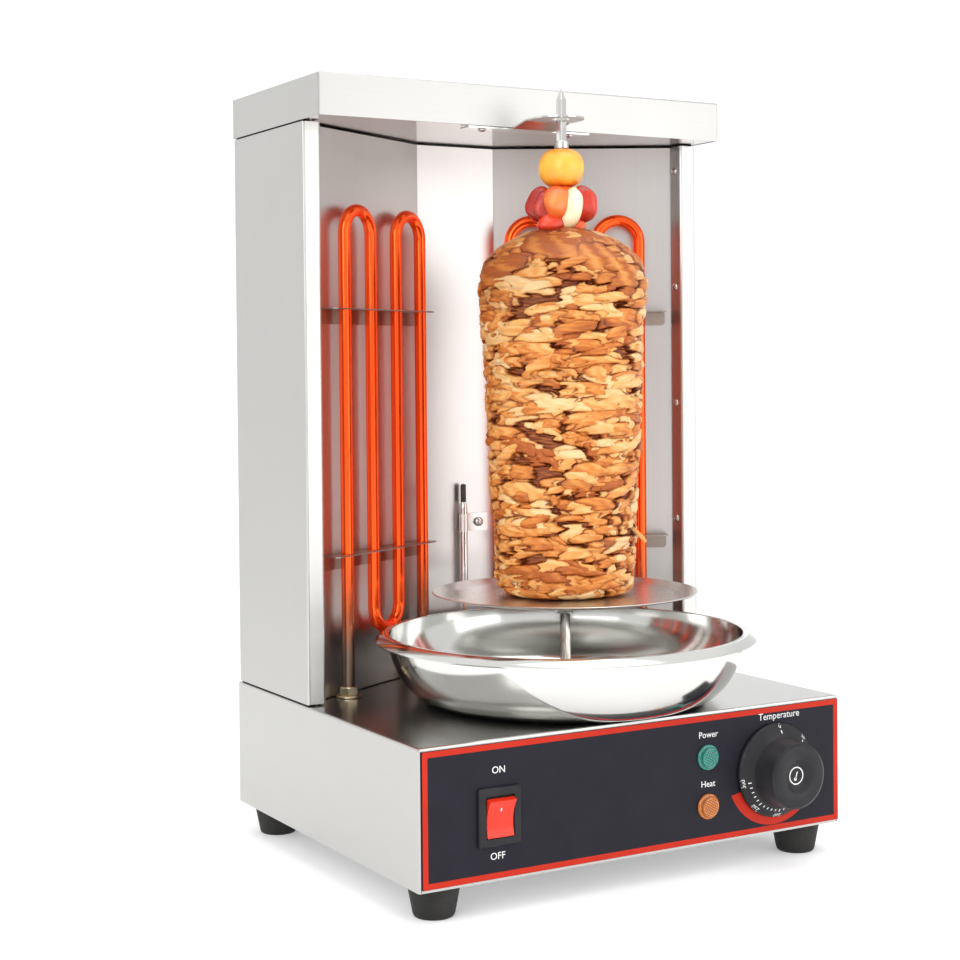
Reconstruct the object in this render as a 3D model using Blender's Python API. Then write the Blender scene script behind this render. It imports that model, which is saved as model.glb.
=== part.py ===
"""Vertical rotisserie broiler: a countertop gyro machine with its spit, drip bowl and glowing elements.

Metres, +Z up. x = 0 is the middle of the body, z = 0 the surface under the feet, and -Y faces the cook.
"""

import math

import bmesh
import bpy
from mathutils import Vector

# Driving dimensions.
WIDTH = 0.330
DEPTH = 0.278
BASE_HEIGHT = 0.088
FOOT_HEIGHT = 0.021
TOWER_HEIGHT = 0.397
CAP_HEIGHT = 0.0285
CAP_OVERHANG = 0.0285
TOWER_DEPTH = 0.119
KNOB_REACH = 0.028
SPIT_INSET = 0.0915
BOWL_RADIUS = 0.1310
FOOT_X = 0.1437
FOOT_INSET = 0.0206
FOOT_RADIUS = 0.0170
GLAND_REACH = 0.012
SHEET = 0.0012
LINER_SHEET = 0.0008
GAP = 0.0004
SEAM = 0.0009
CORNER = 0.0014

# Reference planes and points worked out from them.
HALF = WIDTH / 2
FRONT = -(DEPTH + GLAND_REACH - (BOWL_RADIUS - SPIT_INSET)) / 2
BACK = FRONT + DEPTH
BASE_BOTTOM = FOOT_HEIGHT
BASE_TOP = FOOT_HEIGHT + BASE_HEIGHT
TOWER_FRONT = BACK - TOWER_DEPTH
CAP_FRONT = TOWER_FRONT - CAP_OVERHANG
CAP_BOTTOM = BASE_TOP + TOWER_HEIGHT
CAP_TOP = CAP_BOTTOM + CAP_HEIGHT
TOWER_HALF = HALF - 0.001
SPIT_Y = FRONT + SPIT_INSET

# Liner behind the food: a middle panel and two side panels that turn in from the flanges.
FLANGE_WIDTH = 0.0115
RETURN_DEPTH = 0.012
RETURN_X = TOWER_HALF - 0.0012 - FLANGE_WIDTH
LINER_HALF = 0.0330
LINER_BACK = FRONT + 0.240
LINER_SIDE = Vector((RETURN_X + 0.0008, TOWER_FRONT + RETURN_DEPTH + 0.001))
LINER_TOP = CAP_BOTTOM - 0.0012
LINER_RUN = Vector((LINER_HALF, LINER_BACK)) - LINER_SIDE
LINER_ALONG = LINER_RUN.normalized()
LINER_INWARD = Vector((-LINER_ALONG.y, LINER_ALONG.x))

# Heating elements, each bent from one tube in front of a side panel of the liner.
TUBE_RADIUS = 0.0044
LEG_FIRST = 0.0263
LEG_PITCH = 0.0328
ELEMENT_OFFSET = 0.0094
ELEMENT_TOP = BASE_BOTTOM + 0.428
ELEMENT_DIP = BASE_BOTTOM + 0.131
BUSHING_RADIUS = 0.0092
SUPPORT_HEIGHTS = {"lower": BASE_BOTTOM + 0.187, "upper": BASE_BOTTOM + 0.358}

# Spit, plate, bowl and their drive.
SHAFT_RADIUS = 0.0045
SKEWER_HALF = 0.0026
SKEWER_TURN = math.radians(14)
TIP_LENGTH = 0.0078
SKEWER_TIP = BASE_BOTTOM + 0.508
PLATE_RADIUS = 0.0915
PLATE_Z = BASE_BOTTOM + 0.1595
BOWL_RIM_Z = BASE_BOTTOM + 0.1355
BOWL_THROAT = 0.0155
BOWL_HOLE = 0.0340
COLLAR_HEIGHT = 0.0125
MEAT_BOTTOM = PLATE_Z + 0.0022
MEAT_TOP = BASE_BOTTOM + 0.413

# Controls on the front panel: x from the middle, z from the underside of the base.
SWITCH_AT = (-0.1093, BASE_BOTTOM + 0.0405)
LAMPS = {"power_lamp": (0.0515, BASE_BOTTOM + 0.058), "hot_lamp": (0.0515, BASE_BOTTOM + 0.0254)}
DIAL_AT = (0.1078, BASE_BOTTOM + 0.0432)
LAMP_RADIUS = 0.0084

# Bracket at the top of the spit.
BRACKET_SCREWS = (-0.036, 0.036)
BRACKET_BORE = 0.0065

PALETTE = {
    "brushed_steel": ((0.60, 0.60, 0.58), 0.32, 1.0),
    "liner_steel": ((0.62, 0.59, 0.57), 0.18, 1.0),
    "polished_steel": ((0.72, 0.72, 0.70), 0.10, 1.0),
    "zinc_steel": ((0.55, 0.56, 0.57), 0.40, 1.0),
    "motor_steel": ((0.35, 0.36, 0.37), 0.45, 1.0),
    "brass": ((0.70, 0.50, 0.22), 0.30, 1.0),
    "copper": ((0.72, 0.38, 0.24), 0.30, 1.0),
    "hot_element": ((0.85, 0.14, 0.02), 0.45, 0.0),
    "overlay_black": ((0.025, 0.025, 0.030), 0.35, 0.0),
    "black_plastic": ((0.030, 0.030, 0.032), 0.40, 0.0),
    "grey_ceramic": ((0.75, 0.73, 0.68), 0.60, 0.0),
    "red_plastic": ((0.75, 0.05, 0.03), 0.30, 0.0),
    "green_lens": ((0.02, 0.35, 0.18), 0.15, 0.0),
    "amber_lens": ((0.80, 0.36, 0.03), 0.15, 0.0),
    "rubber": ((0.035, 0.034, 0.032), 0.75, 0.0),
    "roast_meat": ((0.62, 0.27, 0.09), 0.45, 0.0),
    "tomato": ((0.75, 0.10, 0.04), 0.30, 0.0),
    "onion": ((0.86, 0.52, 0.12), 0.35, 0.0),
}


def clear_scene():
    for old in list(bpy.data.objects):
        bpy.data.objects.remove(old, do_unlink=True)


def material(name):
    existing = bpy.data.materials.get(name)
    if existing:
        return existing
    colour, roughness, metallic = PALETTE[name]
    made = bpy.data.materials.new(name)
    made.use_nodes = True
    shader = made.node_tree.nodes["Principled BSDF"]
    shader.inputs["Base Color"].default_value = (*colour, 1.0)
    shader.inputs["Roughness"].default_value = roughness
    shader.inputs["Metallic"].default_value = metallic
    return made


def add_object(name, bm, finish, at=(0, 0, 0), turn=(0, 0, 0), smooth=True):
    """Close the bmesh into a named object, with its faces pointing out."""
    bmesh.ops.recalc_face_normals(bm, faces=bm.faces)
    mesh = bpy.data.meshes.new(name)
    bm.to_mesh(mesh)
    bm.free()
    if smooth:
        mesh.shade_smooth()
        mesh.set_sharp_from_angle(angle=math.radians(35))
    made = bpy.data.objects.new(name, mesh)
    made.location = at
    made.rotation_euler = turn
    if finish:
        mesh.materials.append(material(finish))
    bpy.context.collection.objects.link(made)
    return made


def block(name, low, high, finish, rounded=None, radius=CORNER, segments=2):
    """A box between two corners; rounded(direction) picks the edges that are bevelled."""
    low, high = Vector(low), Vector(high)
    centre, half = (low + high) / 2, (high - low) / 2
    bm = bmesh.new()
    bmesh.ops.create_cube(bm, size=2)
    bmesh.ops.scale(bm, vec=half, verts=bm.verts)
    if rounded:
        chosen = []
        for edge in bm.edges:
            middle = (edge.verts[0].co + edge.verts[1].co) / 2
            side = [round(middle[i] / half[i]) for i in range(3)]
            if rounded(*side):
                chosen.append(edge)
        bmesh.ops.bevel(bm, geom=chosen, offset=radius, segments=segments, affect="EDGES", profile=0.5)
    return add_object(name, bm, finish, at=centre)


def turned(name, profile, finish, at, turn=(0, 0, 0), steps=20):
    """Spin an (r, z) outline round the object's own Z axis."""
    bm = bmesh.new()
    verts = [bm.verts.new((r, 0, z)) for r, z in profile]
    edges = [bm.edges.new(pair) for pair in zip(verts, verts[1:])]
    if profile[0][0] > 0 and profile[-1][0] > 0:
        edges.append(bm.edges.new((verts[-1], verts[0])))
    bmesh.ops.spin(bm, geom=verts + edges, cent=(0, 0, 0), axis=(0, 0, 1), angle=math.tau, steps=steps)
    bmesh.ops.remove_doubles(bm, verts=bm.verts, dist=1e-6)
    return add_object(name, bm, finish, at=at, turn=turn)


def extruded(name, outline, start, end, finish, axis="z", at=(0, 0, 0)):
    """Extrude a closed 2-D outline between two heights along an axis."""
    place = {
        "x": lambda u, v, h: (h, u, v),
        "y": lambda u, v, h: (u, h, v),
        "z": lambda u, v, h: (u, v, h),
    }[axis]
    bm = bmesh.new()
    face = bm.faces.new([bm.verts.new(place(u, v, start)) for u, v in outline])
    grown = bmesh.ops.extrude_face_region(bm, geom=[face])
    lift = Vector(place(0, 0, end - start))
    bmesh.ops.translate(bm, vec=lift, verts=[v for v in grown["geom"] if isinstance(v, bmesh.types.BMVert)])
    return add_object(name, bm, finish, at=at)


def rounded_path(points, radius, steps=3):
    """Replace the inner corners of a 2-D path by arcs of one radius."""
    points = [Vector(p) for p in points]
    path = [points[0]]
    for before, corner, after in zip(points, points[1:], points[2:]):
        into, out = (corner - before).normalized(), (after - corner).normalized()
        turn = into.angle_signed(out)
        reach = radius * abs(math.tan(turn / 2))
        start = corner - into * reach
        side = Vector((into.y, -into.x)) * (1 if turn > 0 else -1)
        centre = start + side * radius
        for step in range(steps + 1):
            angle = -turn * step / steps
            spoke = start - centre
            path.append(centre + Vector((
                spoke.x * math.cos(angle) - spoke.y * math.sin(angle),
                spoke.x * math.sin(angle) + spoke.y * math.cos(angle),
            )))
    path.append(points[-1])
    return path


def sheet_outline(path, thickness):
    """Give a 2-D path a thickness on its right-hand side, with mitred corners."""
    path = [Vector(p) for p in path]
    offset = []
    for index, point in enumerate(path):
        into = (point - path[index - 1]).normalized() if index else None
        out = (path[index + 1] - point).normalized() if index < len(path) - 1 else None
        into, out = into or out, out or into
        normals = [Vector((d.y, -d.x)) for d in (into, out)]
        mitre = (normals[0] + normals[1]).normalized()
        offset.append(point + mitre * (thickness / mitre.dot(normals[0])))
    return path + offset[::-1]


def tube(name, points, radius, finish, sides=2):
    """A round bar or tube along a 3-D path, with closed ends."""
    curve = bpy.data.curves.new(name, "CURVE")
    curve.dimensions = "3D"
    curve.bevel_depth = radius
    curve.bevel_resolution = sides
    curve.use_fill_caps = True
    spline = curve.splines.new("POLY")
    spline.points.add(len(points) - 1)
    for knot, point in zip(spline.points, points):
        knot.co = (*point, 1)
    curve.materials.append(material(finish))
    made = bpy.data.objects.new(name, curve)
    bpy.context.collection.objects.link(made)
    return made


def cut(target, cutter):
    """Take the cutter out of the target with a Boolean, and hide the cutter."""
    cutter.hide_render = True
    cutter.display_type = "WIRE"
    boolean = target.modifiers.new("cut_" + cutter.name[:40], "BOOLEAN")
    boolean.operation = "DIFFERENCE"
    boolean.solver = "EXACT"
    boolean.object = cutter


def drill(target, centre, radius, length, axis="z", steps=16):
    """Cut a round hole of a length that is centred on a point."""
    turn = {"x": (0, math.pi / 2, 0), "y": (math.pi / 2, 0, 0), "z": (0, 0, 0)}[axis]
    half = length / 2
    profile = [(0, half), (radius, half), (radius, -half), (0, -half)]
    cut(target, turned("drill_" + target.name, profile, None, at=centre, turn=turn, steps=steps))


def slot(target, low, high, turn=0.0):
    """Cut a square window between two corners, turned about its own upright axis."""
    window = block("slot_" + target.name, low, high, None)
    window.rotation_euler.z = turn
    cut(target, window)


def button_head(name, at, radius, height, shank, length, turn=(0, 0, 0), finish="polished_steel"):
    """A round-headed screw whose head stands out along its own +Z and whose shank runs the other way."""
    profile = [(0, height), (radius * 0.55, height * 0.86), (radius * 0.9, height * 0.45), (radius, 0)]
    profile += [(shank, 0), (shank, -length), (0, -length)]
    return turned(name, profile, finish, at=at, turn=turn, steps=12)


def liner_point(side, along, inward=0.0):
    """A point near a side panel of the liner: metres along it from the flange, and out of its face."""
    point = LINER_SIDE + LINER_ALONG * along + LINER_INWARD * inward
    return Vector((side * point.x, point.y))


def base_body():
    """Top, front and sides of the base, one folded sheet that is open underneath and behind."""
    shell = block(
        "base_body", (-HALF, FRONT, BASE_BOTTOM), (HALF, BACK, BASE_TOP), "brushed_steel",
        rounded=lambda x, y, z: z == 1 and (x != 0 or y == -1) or (z == 0 and y == -1),
    )
    room = 0.01
    slot(shell, (-HALF + SHEET, FRONT + SHEET, BASE_BOTTOM - room),
        (HALF - SHEET, BACK + room, BASE_TOP - SHEET))
    for side in (-1, 1):
        x = side * (HALF - 0.0017)
        slot(shell, (x - 0.00025, FRONT - room, BASE_BOTTOM - room),
            (x + 0.00025, FRONT + 0.008, BASE_TOP - 0.002))
        for leg in (0, 3):
            foot = liner_point(side, LEG_FIRST + LEG_PITCH * leg, ELEMENT_OFFSET)
            drill(shell, (foot.x, foot.y, BASE_TOP), TUBE_RADIUS + 0.0014, 0.01, steps=16)
    drill(shell, (0, SPIT_Y, BASE_TOP), 0.0095, 0.01)
    drill(shell, (*bulb_place(), BASE_TOP), 0.0022, 0.01, steps=12)
    panel_cutouts(shell, FRONT)


def panel_cutouts(panel, y):
    """Openings for the switch, lamps and thermostat, through a panel at a given y."""
    x, z = SWITCH_AT
    slot(panel, (x - 0.0120, y - 0.005, z - 0.0150), (x + 0.0120, y + 0.005, z + 0.0150))
    for lamp_x, lamp_z in LAMPS.values():
        drill(panel, (lamp_x, y, lamp_z), 0.0070, 0.01, axis="y", steps=20)
    drill(panel, (DIAL_AT[0], y, DIAL_AT[1]), 0.0055, 0.01, axis="y", steps=20)


def front_overlay():
    """The dark printed panel on the front of the base."""
    low = (-HALF + 0.0022, FRONT - 0.0009, BASE_BOTTOM + 0.0018)
    high = (HALF - 0.0010, FRONT - 0.0003, BASE_TOP - 0.0022)
    panel_cutouts(block("front_overlay", low, high, "overlay_black"), FRONT)


def base_closures():
    """Bottom plate and rear panel, with vent slots, that close the base."""
    inner = HALF - SHEET - GAP
    plate = block(
        "bottom_plate",
        (-inner, FRONT + SHEET + GAP, BASE_BOTTOM + 0.0010), (inner, BACK - 0.0018, BASE_BOTTOM + 0.0022),
        "zinc_steel",
    )
    for row in range(6):
        y = FRONT + 0.110 + row * 0.014
        slot(plate, (-0.045, y, BASE_BOTTOM - 0.005), (0.045, y + 0.005, BASE_BOTTOM + 0.008))
    for x, y in foot_places():
        drill(plate, (x, y, BASE_BOTTOM + 0.001), 0.0026, 0.01, steps=12)
    rear = block(
        "rear_panel",
        (-inner, BACK - 0.0014, BASE_BOTTOM + 0.0010), (inner, BACK - 0.0002, BASE_TOP - SHEET - GAP),
        "brushed_steel",
    )
    for column in range(9):
        x = -0.020 + column * 0.012
        slot(rear, (x, BACK - 0.006, BASE_BOTTOM + 0.028), (x + 0.004, BACK + 0.006, BASE_BOTTOM + 0.060))
    drill(rear, (-0.105, BACK, BASE_BOTTOM + 0.040), 0.0083, 0.01, axis="y")


def foot_places():
    return [(x, y) for y in (FRONT + FOOT_INSET, BACK - FOOT_INSET) for x in (-FOOT_X, FOOT_X)]


def feet():
    """Four tapered rubber feet, each held by a screw up its middle."""
    profile = [
        (0.0045, FOOT_HEIGHT + 0.0005), (FOOT_RADIUS, FOOT_HEIGHT + 0.0005), (0.0125, 0.0018),
        (0.0120, 0.0006),
        (0.0106, 0), (0.0060, 0), (0.0060, 0.0120), (0.0045, 0.0120),
    ]
    screw = [(0, 0.0082), (0.0042, 0.0084), (0.0052, 0.0098), (0.0052, 0.0116), (0.0023, 0.0116),
        (0.0023, 0.0300)]
    screw += [(0, 0.0300)]
    corners = ("front_left", "front_right", "rear_left", "rear_right")
    for corner, (x, y) in zip(corners, foot_places()):
        turned("foot_" + corner, profile, "rubber", at=(x, y, 0), steps=16)
        turned("foot_screw_" + corner, screw, "zinc_steel", at=(x, y, 0), steps=10)


def tower_shell():
    """Outer wrapper of the tower: both sides and the back, with a hem at each front edge."""
    hem = 0.0016
    path = [
        (-TOWER_HALF + hem, TOWER_FRONT), (-TOWER_HALF, TOWER_FRONT), (-TOWER_HALF, BACK),
        (TOWER_HALF, BACK), (TOWER_HALF, TOWER_FRONT), (TOWER_HALF - hem, TOWER_FRONT),
    ]
    outline = sheet_outline(rounded_path(path, 0.0010), 0.0010)
    shell = extruded("tower_shell", outline, BASE_TOP + SEAM, CAP_BOTTOM - SEAM, "brushed_steel")
    for row in range(7):
        z = CAP_BOTTOM - 0.050 - row * 0.012
        slot(shell, (-0.045, BACK - 0.006, z), (0.045, BACK + 0.006, z + 0.004))


def front_flanges():
    """Bright strips down both front edges, each with a return that carries the liner."""
    for side, word in ((-1, "left"), (1, "right")):
        outer = side * (RETURN_X + FLANGE_WIDTH - 0.0005)
        path = [(outer, TOWER_FRONT + 0.0003), (side * RETURN_X, TOWER_FRONT + 0.0003)]
        path += [(side * RETURN_X, TOWER_FRONT + RETURN_DEPTH)]
        path = path if side < 0 else path[::-1]
        outline = sheet_outline(rounded_path(path, 0.0012), LINER_SHEET)
        extruded("front_flange_" + word, outline, BASE_TOP + 0.0012, CAP_BOTTOM - SEAM, "brushed_steel")


def liner():
    """Three-faced reflector behind the elements."""
    right = Vector(LINER_SIDE)
    left = Vector((-right.x, right.y))
    path = [left, (-LINER_HALF, LINER_BACK), (LINER_HALF, LINER_BACK), right]
    outline = sheet_outline(rounded_path(path, 0.0020), -LINER_SHEET)
    panel = extruded("reflector_liner", outline, BASE_TOP + 0.0008, LINER_TOP, "liner_steel")
    drill(panel, clip_screw_place(), 0.0018, 0.01, axis="y", steps=12)


def cap():
    """Lid of the tower, a shallow folded tray, and the roof sheet that closes it below."""
    tray = block(
        "top_cap", (-HALF, CAP_FRONT, CAP_BOTTOM), (HALF, BACK, CAP_TOP), "brushed_steel",
        rounded=lambda x, y, z: (z == 1) or (z == 0), radius=0.0010,
    )
    slot(tray, (-HALF + SHEET, CAP_FRONT + SHEET, CAP_BOTTOM - 0.01),
        (HALF - SHEET, BACK - SHEET, CAP_TOP - SHEET))
    inner = HALF - SHEET - GAP
    roof = block(
        "roof_sheet",
        (-inner, CAP_FRONT + SHEET + GAP, CAP_BOTTOM + 0.0003),
        (inner, BACK - SHEET - GAP, CAP_BOTTOM + 0.0013),
        "liner_steel",
    )
    for x in BRACKET_SCREWS:
        drill(roof, (x, CAP_FRONT + 0.007, CAP_BOTTOM), 0.0018, 0.01, steps=12)


def spit_bracket():
    """Flat tongue in front of the cap that steadies the top of the spit."""
    half, bar_half, sheet = 0.0180, 0.050, 0.0012
    under = CAP_BOTTOM - 0.0004 - sheet
    tip_y, bar_front, bar_rear = FRONT + 0.0775, CAP_FRONT + 0.0015, CAP_FRONT + 0.0135
    rise = 0.0035
    path = [(bar_rear, under), (CAP_FRONT - 0.004, under), (CAP_FRONT - 0.022, under + rise),
        (tip_y, under + rise)]
    profile = sheet_outline(rounded_path(path, 0.004), sheet)
    tongue = extruded("spit_bracket", profile, -bar_half, bar_half, "polished_steel", axis="x")
    waste = [(half, bar_front), (half, tip_y + half)]
    waste += [(half * math.cos(a), tip_y + half - half * math.sin(a)) for a in arc_angles(0, 90, 6)]
    waste += [(0, tip_y - 0.01), (bar_half + 0.01, tip_y - 0.01), (bar_half + 0.01, bar_front)]
    for side in (-1, 1):
        outline = [(side * x, y) for x, y in waste]
        cut(tongue, extruded("bracket_waste", outline, under - 0.01, under + 0.02, None))
    drill(tongue, (0, SPIT_Y, under + rise), BRACKET_BORE, 0.02)
    for number, x in enumerate(BRACKET_SCREWS, 1):
        drill(tongue, (x, CAP_FRONT + 0.007, under), 0.0018, 0.01, steps=12)
        at = (x, CAP_FRONT + 0.007, under - 0.0003)
        button_head(f"bracket_screw_{number}", at, 0.0030, 0.0016, 0.0014, 0.0050, turn=(math.pi, 0, 0))


def arc_angles(first, last, steps):
    """Angles in radians between two angles in degrees, without the first and with the last."""
    return [math.radians(first + (last - first) * step / steps) for step in range(1, steps + 1)]


def element_route(side):
    """Centre line of one element: up the outer leg, round two loops and a dip, and down the inner leg."""
    loop = LEG_PITCH / 2
    legs = [LEG_FIRST + LEG_PITCH * leg for leg in range(4)]
    low = BASE_TOP - 0.022
    flat = [(legs[0], low), (legs[0], ELEMENT_TOP - loop)]
    flat += [(legs[0] + loop - loop * math.cos(a),
        ELEMENT_TOP - loop + loop * math.sin(a)) for a in arc_angles(0, 180, 6)]
    flat += [(legs[1], ELEMENT_DIP + loop)]
    flat += [(legs[1] + loop - loop * math.cos(a),
        ELEMENT_DIP + loop - loop * math.sin(a)) for a in arc_angles(0, 180, 6)]
    flat += [(legs[2], ELEMENT_TOP - loop)]
    flat += [(legs[2] + loop - loop * math.cos(a),
        ELEMENT_TOP - loop + loop * math.sin(a)) for a in arc_angles(0, 180, 6)]
    flat += [(legs[3], low)]
    return [(*liner_point(side, along, ELEMENT_OFFSET), height) for along, height in flat]


def heating_elements():
    for side, word in ((-1, "left"), (1, "right")):
        tube("heating_element_" + word, element_route(side), TUBE_RADIUS, "hot_element")
        for leg, place in ((0, "outer"), (3, "inner")):
            foot = liner_point(side, LEG_FIRST + LEG_PITCH * leg, ELEMENT_OFFSET)
            bore = TUBE_RADIUS + 0.0004
            profile = [
                (bore, 0.0078), (0.0061, 0.0078), (0.0064, 0.0074), (0.0064, 0.0022),
                (BUSHING_RADIUS, 0.0018),
                (BUSHING_RADIUS, 0.0003), (0.0053, 0.0003), (0.0053, -0.006), (bore, -0.006),
            ]
            turned(f"element_bushing_{word}_{place}", profile, "brass", at=(foot.x, foot.y, BASE_TOP),
                steps=12)


def element_supports():
    """Slotted strips across the liner's side panels that hold the elements off it."""
    for side, word in ((-1, "left"), (1, "right")):
        for level, height in SUPPORT_HEIGHTS.items():
            strip = support_strip(f"element_support_{word}_{level}", side, height)
            for leg in range(4):
                centre = liner_point(side, LEG_FIRST + LEG_PITCH * leg, ELEMENT_OFFSET)
                drill(strip, (*centre, height), TUBE_RADIUS + 0.0004, 0.006, steps=16)


def support_strip(name, side, height):
    """A thin shelf with a lip against the liner, bent from one strip."""
    first, last = 0.006, 0.1357
    thickness = 0.0008
    near, far, drop = 0.0003, ELEMENT_OFFSET + TUBE_RADIUS + 0.0026, 0.010
    bm = bmesh.new()
    section = [(near, -drop), (near, thickness), (far, thickness), (far, 0), (near + thickness, 0)]
    section += [(near + thickness, -drop)]
    corners = []
    for inward, up in section:
        corners.append(bm.verts.new((*liner_point(side, first, inward), height + up)))
    face = bm.faces.new(corners)
    grown = bmesh.ops.extrude_face_region(bm, geom=[face])
    run = liner_point(side, last) - liner_point(side, first)
    verts = [v for v in grown["geom"] if isinstance(v, bmesh.types.BMVert)]
    bmesh.ops.translate(bm, vec=(run.x, run.y, 0), verts=verts)
    return add_object(name, bm, "zinc_steel")


def bulb_place():
    return (0.0015, LINER_BACK - 0.0050)


def clip_screw_place():
    return (0.0168, LINER_BACK, BASE_BOTTOM + 0.1990)


def sensor():
    """Thermostat with its capillary, and the bulb that a clip holds on the liner."""
    x, y = bulb_place()
    bottom, top = BASE_BOTTOM + 0.146, BASE_BOTTOM + 0.229
    profile = [
        (0, top), (0.0014, top), (0.0018, top - 0.0140), (0.0030, top - 0.0180), (0.0030, bottom + 0.004),
        (0.0012, bottom), (0, bottom),
    ]
    turned("sensing_bulb", profile, "polished_steel", at=(x, y, 0), steps=16)
    end = (DIAL_AT[0] - 0.012, FRONT + 0.034, DIAL_AT[1] + 0.010)
    route = [(x, y, bottom - 0.0004), (x, y, BASE_TOP - 0.012), (x + 0.006, y - 0.010, BASE_TOP - 0.020)]
    route += [(0.060, 0.040, BASE_TOP - 0.022), (0.088, FRONT + 0.070, BASE_TOP - 0.024), end]
    tube("capillary_tube", route, 0.0010, "copper", sides=1)
    clip = LINER_BACK - 0.0003
    screw_x, _, screw_z = clip_screw_place()
    band = 0.0042
    loop = [(x + band * math.cos(a), y + band * math.sin(a)) for a in arc_angles(50, -270, 12)]
    path = [(screw_x + 0.0080, clip - 0.0008), (x + 0.0046, clip - 0.0008)] + loop[:-2]
    strap = sheet_outline([Vector(p) for p in path], 0.0007)
    holder = extruded("bulb_clip", strap, screw_z - 0.0068, screw_z + 0.0068, "zinc_steel")
    drill(holder, (screw_x, clip, screw_z), 0.0018, 0.01, axis="y", steps=12)
    at = (screw_x, clip - 0.0020, screw_z)
    button_head("bulb_clip_screw", at, 0.0034, 0.0018, 0.0014, 0.0060, turn=(math.pi / 2, 0, 0))


def switch():
    """Rocker switch: a framed housing, and the rocker on its own cross axis."""
    x, z = SWITCH_AT
    rim = FRONT - 0.0009
    housing = block(
        "switch_housing", (x - 0.0152, rim - 0.0026, z - 0.0182), (x + 0.0152, rim - 0.0003, z + 0.0182),
        "black_plastic", rounded=lambda a, b, c: b == -1 or (b == 0), radius=0.0008,
    )
    body = block("switch_body_core", (x - 0.0116, rim - 0.0010, z - 0.0146),
        (x + 0.0116, FRONT + 0.020, z + 0.0146), None)
    body.hide_render = True
    body.display_type = "WIRE"
    join = housing.modifiers.new("join_body", "BOOLEAN")
    join.operation = "UNION"
    join.solver = "EXACT"
    join.object = body
    slot(housing, (x - 0.0100, rim - 0.01, z - 0.0130), (x + 0.0100, FRONT + 0.014, z + 0.0130))
    rocker()


def rocker():
    """Rocker in its off position: the lower half pressed in and the upper half standing out."""
    x, z = SWITCH_AT
    reach, width = 0.0121, 0.0094
    tilt = math.radians(9)
    outline = [
        (-0.0066, reach * 0.97), (-0.0036, 0), (-0.0066, -reach * 0.97), (-0.0020, -reach), (0.0036, -0.0040),
        (0.0036, 0.0040), (-0.0020, reach),
    ]
    turned_points = []
    for y, up in outline:
        turned_points.append((y * math.cos(tilt) - up * math.sin(tilt),
            y * math.sin(tilt) + up * math.cos(tilt)))
    extruded("switch_rocker", turned_points, -width, width, "red_plastic", axis="x",
        at=(x, FRONT + 0.0008, z))


def lamps():
    """Two pilot lamps: a bezel body through the panel and a domed lens on it."""
    for name, lens in (("power_lamp", "green_lens"), ("hot_lamp", "amber_lens")):
        x, z = LAMPS[name]
        face = FRONT - 0.0009
        turn = (math.pi / 2, 0, 0)
        body = [
            (0, -0.022), (0.0064, -0.022), (0.0064, 0.0003), (LAMP_RADIUS, 0.0003), (LAMP_RADIUS, 0.0012),
            (LAMP_RADIUS - 0.0008, 0.0018), (0.0070, 0.0018), (0.0070, 0.0010), (0, 0.0010),
        ]
        turned(name + "_body", body, "black_plastic", at=(x, face, z), turn=turn, steps=16)
        dome = [(0, 0.0013), (0.0067, 0.0013), (0.0067, 0.0032), (0.0058, 0.0042), (0.0036, 0.0050),
            (0, 0.0054)]
        turned(name + "_lens", dome, lens, at=(x, face, z), turn=turn, steps=16)


def thermostat():
    """Temperature control: the capsule behind the panel, its shaft and the dial knob."""
    x, z = DIAL_AT
    face = FRONT - 0.0009
    turn = (math.pi / 2, 0, 0)
    shaft = [(0, -0.0120), (0.0030, -0.0120), (0.0030, 0.0110), (0, 0.0110)]
    turned("thermostat_shaft", shaft, "zinc_steel", at=(x, face, z), turn=turn, steps=16)
    body = block(
        "thermostat_body", (x - 0.018, FRONT + SHEET + 0.0005, z - 0.016),
        (x + 0.018, FRONT + 0.033, z + 0.016),
        "grey_ceramic", rounded=lambda a, b, c: b == 1, radius=0.003,
    )
    drill(body, (x, FRONT, z), 0.0034, 0.032, axis="y", steps=16)
    knob = [
        (0.0034, 0.0006), (0.0315, 0.0006), (0.0317, 0.0036), (0.0290, 0.0066), (0.0236, 0.0078),
        (0.0228, 0.0240),
        (0.0214, 0.0260), (0.0196, KNOB_REACH - 0.0009), (0.0170, 0.0250), (0, 0.0244), (0, 0.0114),
        (0.0034, 0.0114),
    ]
    turned("temperature_knob", knob, "black_plastic", at=(x, face, z), turn=turn, steps=28)


def bowl():
    """Drip bowl with a sloping rim, and the collar in its floor that the drive comes up through."""
    wall, floor = 0.0010, 0.0012
    bottom = BASE_TOP + 0.0004
    rim = BOWL_RIM_Z
    outer = []
    foot_radius, side = 0.092, BOWL_RADIUS - 0.0085
    for step in range(6):
        t = step / 5
        outer.append((foot_radius + (side - foot_radius) * math.sin(t * math.pi / 2) ** 0.9,
                      bottom + (rim - 0.002 - bottom) * (1 - math.cos(t * math.pi / 2)) ** 0.85))
    inner = [(r - wall * 0.8 if r > foot_radius else r - wall, z + floor) for r, z in outer]
    lip = [(BOWL_RADIUS - 0.0012, rim - 0.0062), (BOWL_RADIUS, rim - 0.0052),
        (BOWL_RADIUS - 0.0006, rim - 0.0040)]
    lip += [(side + 0.0022, rim)]
    floor_ring = [(BOWL_HOLE, bottom + floor), (BOWL_HOLE, bottom)]
    turned("drip_bowl", outer + lip + inner[::-1] + floor_ring, "polished_steel", at=(0, SPIT_Y, 0), steps=40)
    throat, top, edge = BOWL_THROAT, bottom + COLLAR_HEIGHT, BOWL_HOLE - GAP
    collar = [(edge, bottom), (edge, bottom + floor), (throat + 0.0028, bottom + floor),
        (throat + 0.0016, bottom + 0.0030)]
    collar += [(throat + 0.0012, top), (throat, top), (throat, bottom)]
    turned("bowl_collar", collar, "polished_steel", at=(0, SPIT_Y, 0), steps=28)


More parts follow.
